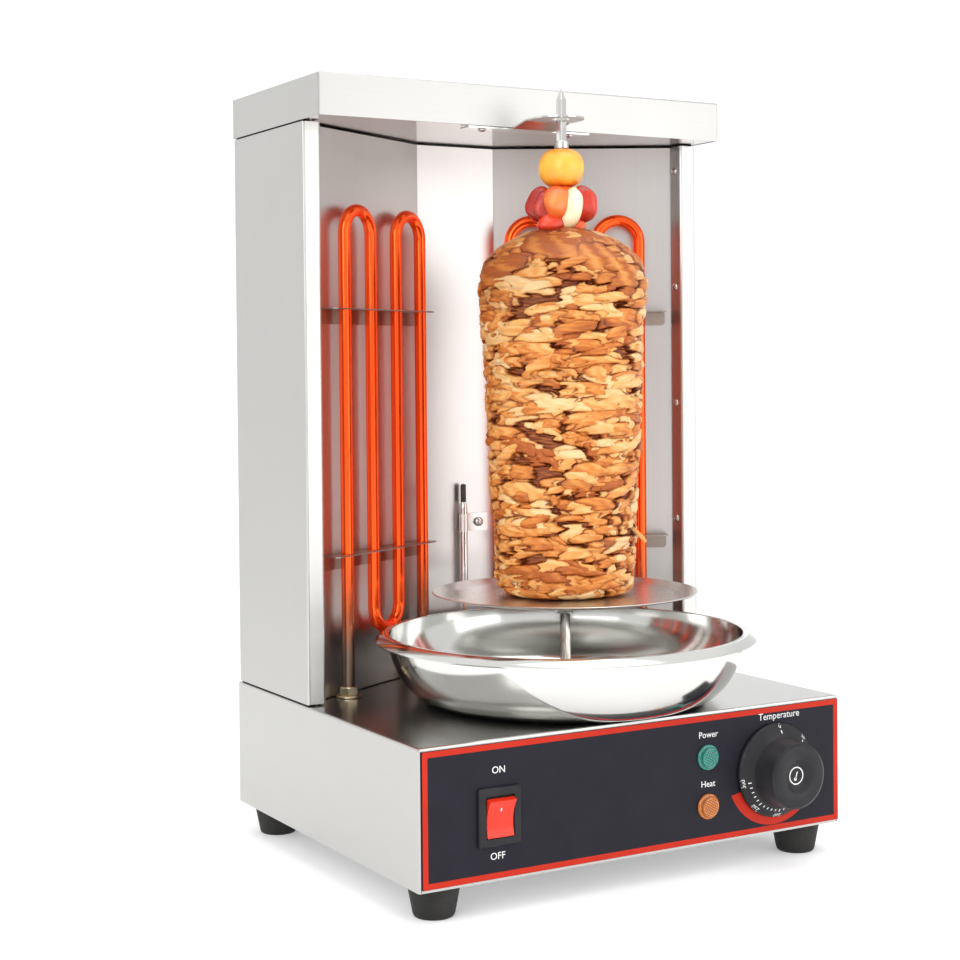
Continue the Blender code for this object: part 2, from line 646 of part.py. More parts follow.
def drive():
    """Gear motor in the base and the turning shaft that stands up through the bowl."""
    motor_top = BASE_TOP - SHEET - 0.0150
    can = [(0, -0.042), (0.0230, -0.042), (0.0245, -0.0405), (0.0245, -0.0225), (0, -0.0225)]
    turned("gear_motor", can, "motor_steel", at=(0, SPIT_Y, motor_top), steps=20)
    gearbox = [(0.0042, -0.0220), (0.0290, -0.0220), (0.0300, -0.0210), (0.0300, -0.0010), (0.0290, 0),
        (0.0042, 0)]
    turned("gearbox", gearbox, "zinc_steel", at=(0, SPIT_Y, motor_top), steps=20)
    bridge = BASE_TOP - SHEET - GAP
    saddle, sheet = motor_top + 0.0016, 0.0012
    path = [(-0.052, bridge), (-0.038, bridge), (-0.036, saddle), (0.036, saddle), (0.038, bridge),
        (0.052, bridge)]
    outline = sheet_outline(path, sheet)
    bracket = extruded("motor_bracket", outline, SPIT_Y - 0.016, SPIT_Y + 0.016, "zinc_steel", axis="y")
    drill(bracket, (0, SPIT_Y, motor_top), 0.0095, 0.01)
    washer = [(0.0052, BASE_TOP + 0.0032), (0.0068, BASE_TOP + 0.0032), (0.0070, BASE_TOP + 0.0006)]
    washer += [(0.0072, BASE_TOP + 0.0003), (0.0072, BASE_TOP - 0.0045), (0.0052, BASE_TOP - 0.0045)]
    turned("shaft_bush", washer, "brass", at=(0, SPIT_Y, 0), steps=14)
    shaft_top = BASE_TOP + 0.0200
    shaft = turned(
        "drive_shaft",
        [(0, motor_top - 0.0190), (0.0036, motor_top - 0.0190), (0.0036, motor_top - 0.0004),
         (SHAFT_RADIUS, motor_top + 0.0020), (SHAFT_RADIUS, BASE_TOP + 0.0050), (0.0068, BASE_TOP + 0.0060),
         (0.0068, shaft_top - 0.0006), (0.0062, shaft_top), (0, shaft_top)],
        "zinc_steel", at=(0, SPIT_Y, 0), steps=14,
    )
    socket = SKEWER_HALF + 0.0003
    low = (-socket, SPIT_Y - socket, shaft_top - 0.0123)
    slot(shaft, low, (socket, SPIT_Y + socket, shaft_top + 0.01), turn=SKEWER_TURN)


def spit():
    """Square skewer with a pointed tip, its plate and the hub that holds the plate."""
    bottom = BASE_TOP + 0.0080
    bm = bmesh.new()
    rings = []
    for height, half in ((bottom, SKEWER_HALF), (SKEWER_TIP - TIP_LENGTH, SKEWER_HALF)):
        corners = ((1, 1), (-1, 1), (-1, -1), (1, -1))
        rings.append([bm.verts.new((half * a, half * b, height)) for a, b in corners])
    tip = bm.verts.new((0, 0, SKEWER_TIP))
    bm.faces.new(rings[0])
    for index in range(4):
        following = (index + 1) % 4
        bm.faces.new((rings[0][index], rings[0][following], rings[1][following], rings[1][index]))
        bm.faces.new((rings[1][index], rings[1][following], tip))
    add_object("skewer", bm, "polished_steel", at=(0, SPIT_Y, 0), turn=(0, 0, SKEWER_TURN), smooth=False)
    bore = SKEWER_HALF * math.sqrt(2) + 0.0004
    plate = [
        (bore, PLATE_Z + 0.0009), (PLATE_RADIUS - 0.0130, PLATE_Z + 0.0009),
        (PLATE_RADIUS - 0.0008, PLATE_Z + 0.0034),
        (PLATE_RADIUS, PLATE_Z + 0.0028), (PLATE_RADIUS - 0.0128, PLATE_Z), (bore, PLATE_Z),
    ]
    turned("spit_plate", plate, "polished_steel", at=(0, SPIT_Y, 0), steps=36)
    hub = [
        (bore, PLATE_Z - 0.0003), (0.0120, PLATE_Z - 0.0003), (0.0120, PLATE_Z - 0.0020),
        (0.0075, PLATE_Z - 0.0034),
        (0.0068, PLATE_Z - 0.0120), (bore, PLATE_Z - 0.0120),
    ]
    turned("plate_hub", hub, "polished_steel", at=(0, SPIT_Y, 0), steps=14)
    z = BASE_BOTTOM + 0.4667
    collar = [(bore, z), (0.0050, z), (0.0050, z + 0.0050), (bore, z + 0.0050)]
    turned("skewer_collar", collar, "polished_steel", at=(0, SPIT_Y, 0), steps=12)


def lumpy(name, low, high, radius_at, finish, bore, rings=12, sides=28):
    """A closed food solid on the skewer: radius_at(share of the height, angle), round a square bore."""
    bm = bmesh.new()
    levels = []
    for ring in range(rings + 1):
        share = ring / rings
        height = low + (high - low) * share
        level = []
        for step in range(sides):
            angle = math.tau * step / sides
            radius = radius_at(share, angle)
            level.append(bm.verts.new((radius * math.cos(angle), radius * math.sin(angle), height)))
        levels.append(level)
    for height, order in ((high, -1), (low, 1)):
        inner = []
        for step in range(sides):
            angle = math.tau * step / sides
            inner.append(bm.verts.new((bore * math.cos(angle), bore * math.sin(angle), height)))
        levels.append(inner)
    loops = levels + [levels[0]]
    for lower, upper in zip(loops, loops[1:]):
        for step in range(sides):
            following = (step + 1) % sides
            bm.faces.new((lower[step], lower[following], upper[following], upper[step]))
    return add_object(name, bm, finish, at=(0, SPIT_Y, 0))


def meat_radius(share, angle):
    """Roast stack: narrow foot, broad shoulder below the top, and a domed crown."""
    body = 0.0455 + 0.0100 * share ** 2.2
    crown = max(0.0, (share - 0.86) / 0.14)
    body *= math.sqrt(max(0.05, 1 - 0.62 * crown ** 2))
    return body + 0.0011 * math.sin(3 * angle + 5 * share) + 0.0008 * math.sin(7 * angle - 9 * share)


def ball_radius(radius):
    def radius_at(share, _angle):
        return radius * math.sqrt(max(0.16, 1 - (2 * share - 1) ** 2))
    return radius_at


def food():
    bore = SKEWER_HALF * math.sqrt(2) + 0.0004
    lumpy("meat_stack", MEAT_BOTTOM, MEAT_TOP, meat_radius, "roast_meat", bore, rings=10, sides=20)
    base = BASE_BOTTOM
    lumpy("tomato", base + 0.4140, base + 0.4400, ball_radius(0.0245), "tomato", bore, rings=6, sides=14)
    lumpy("onion", base + 0.4405, base + 0.4662, ball_radius(0.0155), "onion", bore, rings=6, sides=14)


def wiring():
    """Terminal block on the bottom plate and the gland for the supply cord at the back."""
    z = BASE_BOTTOM + 0.0022 + 0.0003
    block("terminal_block", (-0.130, BACK - 0.062, z), (-0.080, BACK - 0.044, z + 0.016), "grey_ceramic")
    turn = (-math.pi / 2, 0, 0)
    gland = [
        (0.0035, -0.010), (0.0080, -0.010), (0.0080, 0.0004), (0.0125, 0.0004), (0.0125, 0.0040),
        (0.0098, 0.0052), (0.0090, GLAND_REACH - 0.0006), (0.0084, GLAND_REACH), (0.0035, GLAND_REACH),
    ]
    turned("cord_gland", gland, "black_plastic", at=(-0.105, BACK, BASE_BOTTOM + 0.040), turn=turn, steps=16)


def main():
    clear_scene()
    base_body()
    front_overlay()
    base_closures()
    feet()
    tower_shell()
    front_flanges()
    liner()
    cap()
    spit_bracket()
    heating_elements()
    element_supports()
    sensor()
    switch()
    lamps()
    thermostat()
    bowl()
    drive()
    spit()
    food()
    wiring()


main()
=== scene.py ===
"""Looks of the vertical rotisserie broiler, built round its packed frame.

Metres, +Z up, and -Y faces the cook. Every piece takes its place from the frame's own boxes.
"""

import math
import random

import bmesh
import bpy
import numpy as np
from bpy.props import FloatProperty, FloatVectorProperty, IntProperty, PointerProperty, StringProperty
from mathutils import Matrix, Vector


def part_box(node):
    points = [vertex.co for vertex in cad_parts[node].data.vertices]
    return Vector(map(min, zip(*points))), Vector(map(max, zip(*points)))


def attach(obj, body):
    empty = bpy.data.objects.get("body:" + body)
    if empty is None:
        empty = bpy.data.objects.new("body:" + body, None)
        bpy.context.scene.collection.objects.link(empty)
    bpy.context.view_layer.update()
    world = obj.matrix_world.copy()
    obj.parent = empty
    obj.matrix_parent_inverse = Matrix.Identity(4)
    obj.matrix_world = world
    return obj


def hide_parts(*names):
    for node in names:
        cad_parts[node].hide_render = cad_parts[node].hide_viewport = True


bl_info = {
    "name": "Rotisserie Broiler",
    "version": (1, 0, 0),
    "blender": (4, 5, 0),
    "location": "View3D > Sidebar > Broiler",
    "description": "Builds the cabinet, elements, spit, food, bowl and controls of a vertical broiler",
    "category": "Object",
}

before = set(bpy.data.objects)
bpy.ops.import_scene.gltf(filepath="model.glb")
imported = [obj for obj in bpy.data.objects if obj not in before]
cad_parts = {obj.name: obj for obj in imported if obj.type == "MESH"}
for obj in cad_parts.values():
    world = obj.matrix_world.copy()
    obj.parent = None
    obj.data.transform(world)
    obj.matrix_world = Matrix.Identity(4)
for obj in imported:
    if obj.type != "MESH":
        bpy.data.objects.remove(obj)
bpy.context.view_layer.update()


def middle(node):
    """Centre of a frame node's box."""
    low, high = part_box(node)
    return (low + high) / 2


BASE_LOW, BASE_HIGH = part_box("base_body")
CAP_LOW, CAP_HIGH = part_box("top_cap")
TOWER_LOW, TOWER_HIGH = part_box("tower_shell")
OVERLAY_LOW, OVERLAY_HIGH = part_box("front_overlay")
BOWL_LOW, BOWL_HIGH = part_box("drip_bowl")
PLATE_LOW, PLATE_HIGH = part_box("spit_plate")
SKEWER_LOW, SKEWER_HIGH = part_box("skewer")
MEAT_LOW, MEAT_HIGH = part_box("meat_stack")
SPIT = Vector((middle("spit_plate").x, middle("spit_plate").y, 0.0))
DIAL = middle("temperature_knob")
SWITCH = middle("switch_housing")
FACE_Y = OVERLAY_LOW.y
FRONT_Y = BASE_LOW.y
BACK_Y = BASE_HIGH.y
BASE_TOP = BASE_HIGH.z
BASE_BOTTOM = BASE_LOW.z
FACE = math.radians(-122.8)  # heading from the spit towards the camera
MILLIMETRE = 0.001
INK = 0.00006  # thickness of printing
AROUND, UP = 540, 470  # points round the roast and up it


# Settings ----------------------------------------------------------------------------------------


def colour(name, description, default):
    """A setting that holds a colour."""
    return FloatVectorProperty(
        name=name, description=description, default=default, size=3, min=0.0, max=1.0, subtype="COLOR",
    )


def share(name, description, default):
    """A setting from 0 to 1."""
    return FloatProperty(
        name=name, description=description, default=default, min=0.0, max=1.0, subtype="FACTOR",
    )


def length(name, description, default, low, high):
    """A setting that holds a length in metres."""
    return FloatProperty(
        name=name, description=description, default=default, min=low, max=high, unit="LENGTH",
    )


def heading(name, description, degrees):
    """A setting that holds an angle."""
    return FloatProperty(
        name=name, description=description, default=math.radians(degrees), subtype="ANGLE", unit="ROTATION",
    )


class SteelSettings(bpy.types.PropertyGroup):
    """Finishes of the sheet steel and the bright metal."""

    sheet_tone: colour("Sheet tone", "Colour of the brushed outer panels", (0.515, 0.51, 0.495))
    sheet_roughness: share("Sheet roughness", "How far the brushed panels blur what they reflect", 0.34)
    liner_tone: colour("Liner tone", "Colour of the reflector behind the elements", (0.60, 0.57, 0.555))
    liner_roughness: share("Liner roughness", "How far the reflector blurs what it reflects", 0.33)
    bright_tone: colour("Bright tone", "Colour of the polished bowl, plate and spit", (0.66, 0.65, 0.63))
    bright_roughness: share("Bright roughness", "How far the polished steel blurs what it reflects", 0.10)


class HeaterSettings(bpy.types.PropertyGroup):
    """Heating elements and their holders."""

    tube_radius: length("Tube radius", "Radius of the element tube", 0.0044, 0.001, 0.01)
    dip_height: length("Dip height", "Height of the lower bend above the base's underside", 0.131, 0.05, 0.3)
    cold_length: length("Cold length", "Length of tube at each end that stays dull", 0.075, 0.0, 0.3)
    glow: colour("Glow", "Colour that the hot tube gives off", (0.62, 0.020, 0.002))
    glow_strength: FloatProperty(
        name="Glow strength", description="Brightness of the hot tube",
        default=0.22, min=0.0, max=20.0,
    )


class FoodSettings(bpy.types.PropertyGroup):
    """Roast stack and its garnish."""

    slices: IntProperty(
        name="Slices", description="Number of slices that show on the roast stack",
        default=1700, min=100, max=5000,
    )
    slice_length: length("Slice length", "Length of a common slice, along the surface", 0.025, 0.005, 0.08)
    slice_thickness: length("Slice thickness", "Thickness of a common slice", 0.0066, 0.001, 0.02)
    seed: IntProperty(name="Seed", description="Start of the random draws", default=11, min=0)
    pale: colour("Pale meat", "Colour of a freshly cut face", (0.86, 0.58, 0.29))
    browned: colour("Browned meat", "Colour of the roasted edges", (0.42, 0.095, 0.009))


class ControlSettings(bpy.types.PropertyGroup):
    """Front panel with its switch, lamps and dial."""

    border: colour("Border", "Colour of the border and of the band round the dial", (0.52, 0.020, 0.005))
    border_width: length("Border width", "Width of the printed border", 0.0038, 0.0005, 0.01)
    film: colour("Film", "Colour of the dark panel film", (0.0110, 0.0100, 0.0175))
    on_word: StringProperty(name="On word", description="Word above the switch", default="ON")
    off_word: StringProperty(name="Off word", description="Word below the switch", default="OFF")
    power_word: StringProperty(name="Power word", description="Word above the green lamp", default="Power")
    heat_word: StringProperty(name="Heat word", description="Word above the amber lamp", default="Heat")
    dial_word: StringProperty(name="Dial word", description="Word above the dial", default="Temperature")


class StageSettings(bpy.types.PropertyGroup):
    """Floor, lights and camera."""

    floor_tone: share("Floor tone", "Brightness of the floor's paint", 0.90)
    sky_strength: FloatProperty(
        name="Surround strength", description="Brightness of the pale room round the broiler",
        default=1.0, min=0.0, max=10.0,
    )
    key_power: FloatProperty(
        name="Key power", description="Power of the large soft light on the cook's left",
        default=13.0, min=0.0, max=500.0, unit="POWER",
    )
    camera_place: FloatVectorProperty(
        name="Camera place", description="Where the camera stands",
        default=(-0.6734, FRONT_Y - 0.9535, 0.3398), size=3, subtype="TRANSLATION", unit="LENGTH",
    )
    camera_turn: heading("Camera turn", "Heading of the camera, clockwise from straight ahead", 30.15)
    camera_dip: heading("Camera dip", "How far the camera looks down", 1.12)
    camera_roll: heading("Camera roll", "Roll of the camera about its line of sight", -0.5)
    camera_lens: FloatProperty(
        name="Camera lens", description="Focal length in millimetres",
        default=67.62, min=10.0, max=300.0,
    )
    camera_rise: FloatProperty(
        name="Camera rise", description="Upward shift of the frame, as a share of its width",
        default=-0.0833, min=-0.5, max=0.5,
    )


# Mesh making -------------------------------------------------------------------------------------


def finished(name, bm, look, body, stands_for=(), sharp=35.0):
    """Turn a bmesh into a piece with its finish, its body and the frame nodes it stands for."""
    bmesh.ops.recalc_face_normals(bm, faces=bm.faces)
    mesh = bpy.data.meshes.new(name)
    bm.to_mesh(mesh)
    bm.free()
    return placed(name, mesh, look, body, stands_for, sharp)


def placed(name, mesh, look, body, stands_for=(), sharp=35.0, place=None):
    """Put a mesh in the scene as a piece that rides on a body."""
    mesh.shade_smooth()
    mesh.set_sharp_from_angle(angle=math.radians(sharp))
    mesh.materials.clear()
    mesh.materials.append(look)
    piece = bpy.data.objects.new(name, mesh)
    if place is not None:
        piece.matrix_world = place
    bpy.context.scene.collection.objects.link(piece)
    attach(piece, body)
    if stands_for:
        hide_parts(*stands_for)
    return piece


def circle(radius, steps, height=0.0):
    """Points of a level circle round Z."""
    angles = [math.tau * step / steps for step in range(steps)]
    return [(radius * math.cos(angle), radius * math.sin(angle), height) for angle in angles]


def bridged(bm, loops, closed=False):
    """Fill the strips between neighbouring loops of vertices, and from the last to the first if closed."""
    for first, second in zip(loops, loops[1:] + loops[:1] if closed else loops[1:]):
        for index, corner in enumerate(first):
            following = (index + 1) % len(first)
            unique = list(dict.fromkeys((corner, first[following], second[following], second[index])))
            if len(unique) > 2:
                bm.faces.new(unique)


def turned(profile, steps=72, closed=False, at=(0, 0, 0)):
    """Spin an (r, z) outline round an upright axis. Points on the axis become single vertices."""
    bm = bmesh.new()
    rings = []
    for radius, height in profile:
        if radius < 1e-7:
            rings.append([bm.verts.new((0, 0, height))] * steps)
        else:
            rings.append([bm.verts.new(point) for point in circle(radius, steps, height)])
    bridged(bm, rings, closed)
    return moved(bm, Matrix.Translation(at))


def eased(points, steps=6):
    """Pass a smooth curve through points of any dimension."""
    points = [Vector(p) for p in points]
    ends = [points[0] * 2 - points[1], *points, points[-1] * 2 - points[-2]]
    path = []
    for a, b, c, d in zip(ends, ends[1:], ends[2:], ends[3:]):
        for step in range(steps):
            t = step / steps
            path.append(
                b + (c - a) * (t / 2) + (a * 2 - b * 5 + c * 4 - d) * (t * t / 2)
                + (b * 3 - a - c * 3 + d) * (t ** 3 / 2)
            )
    path.append(points[-1])
    return path


def filleted(points, radius, steps=6):
    """Replace the inner corners of a 3-D path by arcs of one radius."""
    points = [Vector(p).to_3d() for p in points]
    path = [points[0]]
    for before, corner, after in zip(points, points[1:], points[2:]):
        into, out = (corner - before).normalized(), (after - corner).normalized()
        turn = into.angle(out)
        if turn < 1e-4:
            path.append(corner)
            continue
        half_run = min((corner - before).length, (after - corner).length) / 2
        reach = min(radius * math.tan(turn / 2), half_run)
        bend = reach / math.tan(turn / 2)
        centre = corner + (out - into).normalized() * (bend / math.cos(turn / 2))
        spoke = corner - into * reach - centre
        axis = into.cross(out)
        for step in range(steps + 1):
            path.append(centre + Matrix.Rotation(turn * step / steps, 3, axis) @ spoke)
    path.append(points[-1])
    return path


def swept(path, radius, sides=16, flat=1.0, taper=None):
    """Sweep a round or flattened section along a path, with closed ends."""
    bm = bmesh.new()
    side = (path[1] - path[0]).normalized().orthogonal().normalized()
    rings = []
    for index, point in enumerate(path):
        before, after = path[max(index - 1, 0)], path[min(index + 1, len(path) - 1)]
        along = (after - before).normalized()
        side = (side - along * side.dot(along)).normalized()
        up = along.cross(side)
        wide = radius * (taper(index / (len(path) - 1)) if taper else 1.0)
        rings.append([bm.verts.new(point + side * u + up * flat * v) for u, v, _ in circle(wide, sides)])
    bridged(bm, rings)
    bm.faces.new(rings[0][::-1])
    bm.faces.new(rings[-1])
    return bm


def thickened(path, thickness):
    """Give a 2-D path a thickness on its right-hand side, with mitred corners."""
    path = [Vector(p).to_2d() for p in path]
    offset = []
    for index, point in enumerate(path):
        into = (point - path[index - 1]).normalized() if index else None
        out = (path[index + 1] - point).normalized() if index < len(path) - 1 else None
        into, out = into or out, out or into
        normals = [Vector((d.y, -d.x)) for d in (into, out)]
        mitre = (normals[0] + normals[1]).normalized()
        offset.append(point + mitre * (thickness / mitre.dot(normals[0])))
    return path + offset[::-1]


PLACING = {
    "x": lambda u, v, h: (h, u, v),
    "y": lambda u, v, h: (u, h, v),
    "z": lambda u, v, h: (u, v, h),
}


def extruded(outline, start, end, axis="z"):
    """Extrude a closed 2-D outline between two distances along an axis."""
    bm = bmesh.new()
    near, far = ([bm.verts.new(PLACING[axis](u, v, depth)) for u, v in outline] for depth in (start, end))
    bm.faces.new(near[::-1])
    bm.faces.new(far)
    bridged(bm, [near, far])
    return bm


def rounded_block(low, high, radius, segments=3):
    """A block between two corners, with all its edges rounded."""
    low, high = Vector(low), Vector(high)
    bm = bmesh.new()
    bmesh.ops.create_cube(bm, size=1)
    bmesh.ops.scale(bm, vec=high - low, verts=bm.verts)
    bmesh.ops.translate(bm, vec=(low + high) / 2, verts=bm.verts)
    bmesh.ops.bevel(bm, geom=bm.edges[:], offset=radius, segments=segments, affect="EDGES", profile=0.5)
    return bm


def ringed(outer, inner, start, end, axis="y"):
    """A flat frame between two outlines with the same number of points, given a thickness."""
    bm = bmesh.new()
    sides = ((outer, end), (outer, start), (inner, start), (inner, end))
    loops = [[bm.verts.new(PLACING[axis](u, v, depth)) for u, v in outline] for outline, depth in sides]
    bridged(bm, loops, True)
    return bm


def reopened(mesh):
    """Take a mesh back into a bmesh, and drop the mesh."""
    bm = bmesh.new()
    bm.from_mesh(mesh)
    bpy.data.meshes.remove(mesh)
    return bm


def merged(whole, *parts):
    """Join several bmeshes into the first one."""
    for part in parts:
        mesh = bpy.data.meshes.new("part")
        part.to_mesh(mesh)
        part.free()
        whole.from_mesh(mesh)
        bpy.data.meshes.remove(mesh)
    return whole


def moved(bm, matrix):
    """Move every vertex of a bmesh by a matrix."""
    bmesh.ops.transform(bm, matrix=matrix, verts=bm.verts)
    return bm


def rounded_outline(low, high, radius, steps=6):
    """Rectangle with rounded corners, as 2-D points."""
    points = []
    right, left = high[0] - radius, low[0] + radius
    top, bottom = high[1] - radius, low[1] + radius
    for x, y, first in ((right, top, 0), (left, top, 90), (left, bottom, 180), (right, bottom, 270)):
        for step in range(steps + 1):
            angle = math.radians(first + 90 * step / steps)
            points.append((x + radius * math.cos(angle), y + radius * math.sin(angle)))
    return points


def facing_cook(x, y, z):
    """Matrix that lays a piece made round +Z on the front panel, with its top towards the cook."""
    return Matrix.Translation((x, y, z)) @ Matrix.Rotation(math.pi / 2, 4, "X")


def cut_mesh(bm, cutter):
    """Take one closed bmesh out of another and return the mesh that is left."""
    holders = []
    for name, part in (("solid", bm), ("cutter", cutter)):
        bmesh.ops.recalc_face_normals(part, faces=part.faces)
        mesh = bpy.data.meshes.new(name)
        part.to_mesh(mesh)
        part.free()
        holder = bpy.data.objects.new(name, mesh)
        bpy.context.scene.collection.objects.link(holder)
        holders.append(holder)
    boolean = holders[0].modifiers.new("cut", "BOOLEAN")
    boolean.operation = "DIFFERENCE"
    boolean.solver = "EXACT"
    boolean.object = holders[1]
    bpy.context.view_layer.update()
    left = bpy.data.meshes.new_from_object(holders[0].evaluated_get(bpy.context.evaluated_depsgraph_get()))
    for holder in holders:
        bpy.data.objects.remove(holder)
    return left


def lettering(words, height, depth):
    """A word as a solid that stands on z = 0, centred, with its top towards +Y."""
    curve = bpy.data.curves.new("word", "FONT")
    curve.body = words
    curve.size = height
    curve.align_x = "CENTER"
    curve.align_y = "CENTER"
    curve.extrude = depth / 2
    curve.resolution_u = 3
    writer = bpy.data.objects.new("word", curve)
    bpy.context.scene.collection.objects.link(writer)
    bpy.context.view_layer.update()
    bm = reopened(bpy.data.meshes.new_from_object(writer))
    bpy.data.objects.remove(writer)
    bmesh.ops.remove_doubles(bm, verts=bm.verts, dist=1e-7)
    return moved(bm, Matrix.Translation((0, 0, depth / 2)))


# Materials ---------------------------------------------------------------------------------------


def blank_material(name):
    """A new material with an empty node tree."""
    look = bpy.data.materials.new(name)
    look.use_nodes = True
    look.node_tree.nodes.clear()
    return look, look.node_tree.nodes, look.node_tree.links


def lay_out(nodes, effects):
    """Frame the nodes of each effect, in one row for each."""
    for row, (effect, members) in enumerate(effects.items()):
        frame_node = nodes.new("NodeFrame")
        frame_node.label = effect
        for column, node in enumerate(members):
            node.parent = frame_node
            node.location = (column * 240 - 1200, row * -420)


def brushed_steel(name, tone, roughness, along, sideways, depth=0.006):
    """Rolled sheet with a fine grain, run one way on faces towards the cook and another on the flanks."""
    look, nodes, links = blank_material(name)
    output = nodes.new("ShaderNodeOutputMaterial")
    output.label = "Sheet steel"
    shader = nodes.new("ShaderNodeBsdfPrincipled")
    shader.label = "Steel surface"
    spot = nodes.new("ShaderNodeTexCoord")
    spot.label = "Place on the cabinet"
    front_grain = nodes.new("ShaderNodeMapping")
    front_grain.label = "Grain run, front"
    flank_grain = nodes.new("ShaderNodeMapping")
    flank_grain.label = "Grain run, flank"
    facing = nodes.new("ShaderNodeSeparateXYZ")
    facing.label = "Which way the panel faces"
    outward = nodes.new("ShaderNodeMath")
    outward.label = "Flank or front"
    outward.operation = "ABSOLUTE"
    is_flank = nodes.new("ShaderNodeMath")
    is_flank.label = "Is it a flank"
    is_flank.operation = "GREATER_THAN"
    run = nodes.new("ShaderNodeMix")
    run.label = "Grain run"
    run.data_type = "VECTOR"
    grain = nodes.new("ShaderNodeTexNoise")
    grain.label = "Rolling grain"
    cloud = nodes.new("ShaderNodeTexNoise")
    cloud.label = "Handling marks"
    gloss = nodes.new("ShaderNodeMapRange")
    gloss.label = "Gloss along the grain"
    smear = nodes.new("ShaderNodeMath")
    smear.label = "Gloss with marks"
    smear.operation = "MULTIPLY_ADD"
    shade = nodes.new("ShaderNodeValToRGB")
    shade.label = "Steel tone"
    relief = nodes.new("ShaderNodeBump")
    relief.label = "Grain relief"

    lay_out(nodes, {
        "Grain": (spot, front_grain, flank_grain, facing, outward, is_flank, run, grain),
        "Tone and gloss": (cloud, gloss, smear, shade, relief),
        "Surface": (shader, output),
    })
    for node, socket, value in (
        (shader, "Metallic", 1.0), (front_grain, "Scale", along), (flank_grain, "Scale", sideways),
        (is_flank, 1, 0.7), (grain, "Scale", 1.0), (grain, "Detail", 5.0), (grain, "Roughness", 0.65),
        (cloud, "Scale", 14.0), (cloud, "Detail", 3.0), (gloss, "From Min", 0.25),
        (gloss, "From Max", 0.75), (gloss, "To Min", roughness * 0.94), (gloss, "To Max", roughness * 1.06),
        (smear, 1, 0.05), (relief, "Strength", depth), (relief, "Distance", 0.0002),
    ):
        node.inputs[socket].default_value = value
    first, last = shade.color_ramp.elements
    first.position, first.color = 0.30, (*(c * 0.975 for c in tone), 1.0)
    last.position, last.color = 0.70, (*(min(1.0, c * 1.015) for c in tone), 1.0)

    links.new(spot.outputs["Object"], front_grain.inputs["Vector"])
    links.new(spot.outputs["Object"], flank_grain.inputs["Vector"])
    links.new(spot.outputs["Normal"], facing.inputs["Vector"])
    links.new(facing.outputs["X"], outward.inputs[0])
    links.new(outward.outputs[0], is_flank.inputs[0])
    links.new(is_flank.outputs[0], run.inputs[0])
    links.new(front_grain.outputs["Vector"], run.inputs[4])
    links.new(flank_grain.outputs["Vector"], run.inputs[5])
    links.new(run.outputs[1], grain.inputs["Vector"])
    links.new(spot.outputs["Object"], cloud.inputs["Vector"])
    links.new(grain.outputs["Fac"], gloss.inputs["Value"])
    links.new(cloud.outputs["Fac"], smear.inputs[0])
    links.new(gloss.outputs["Result"], smear.inputs[2])
    links.new(smear.outputs[0], shader.inputs["Roughness"])
    links.new(grain.outputs["Fac"], shade.inputs["Fac"])
    links.new(shade.outputs["Color"], shader.inputs["Base Color"])
    links.new(grain.outputs["Fac"], relief.inputs["Height"])
    links.new(relief.outputs["Normal"], shader.inputs["Normal"])
    links.new(shader.outputs["BSDF"], output.inputs["Surface"])
    return look


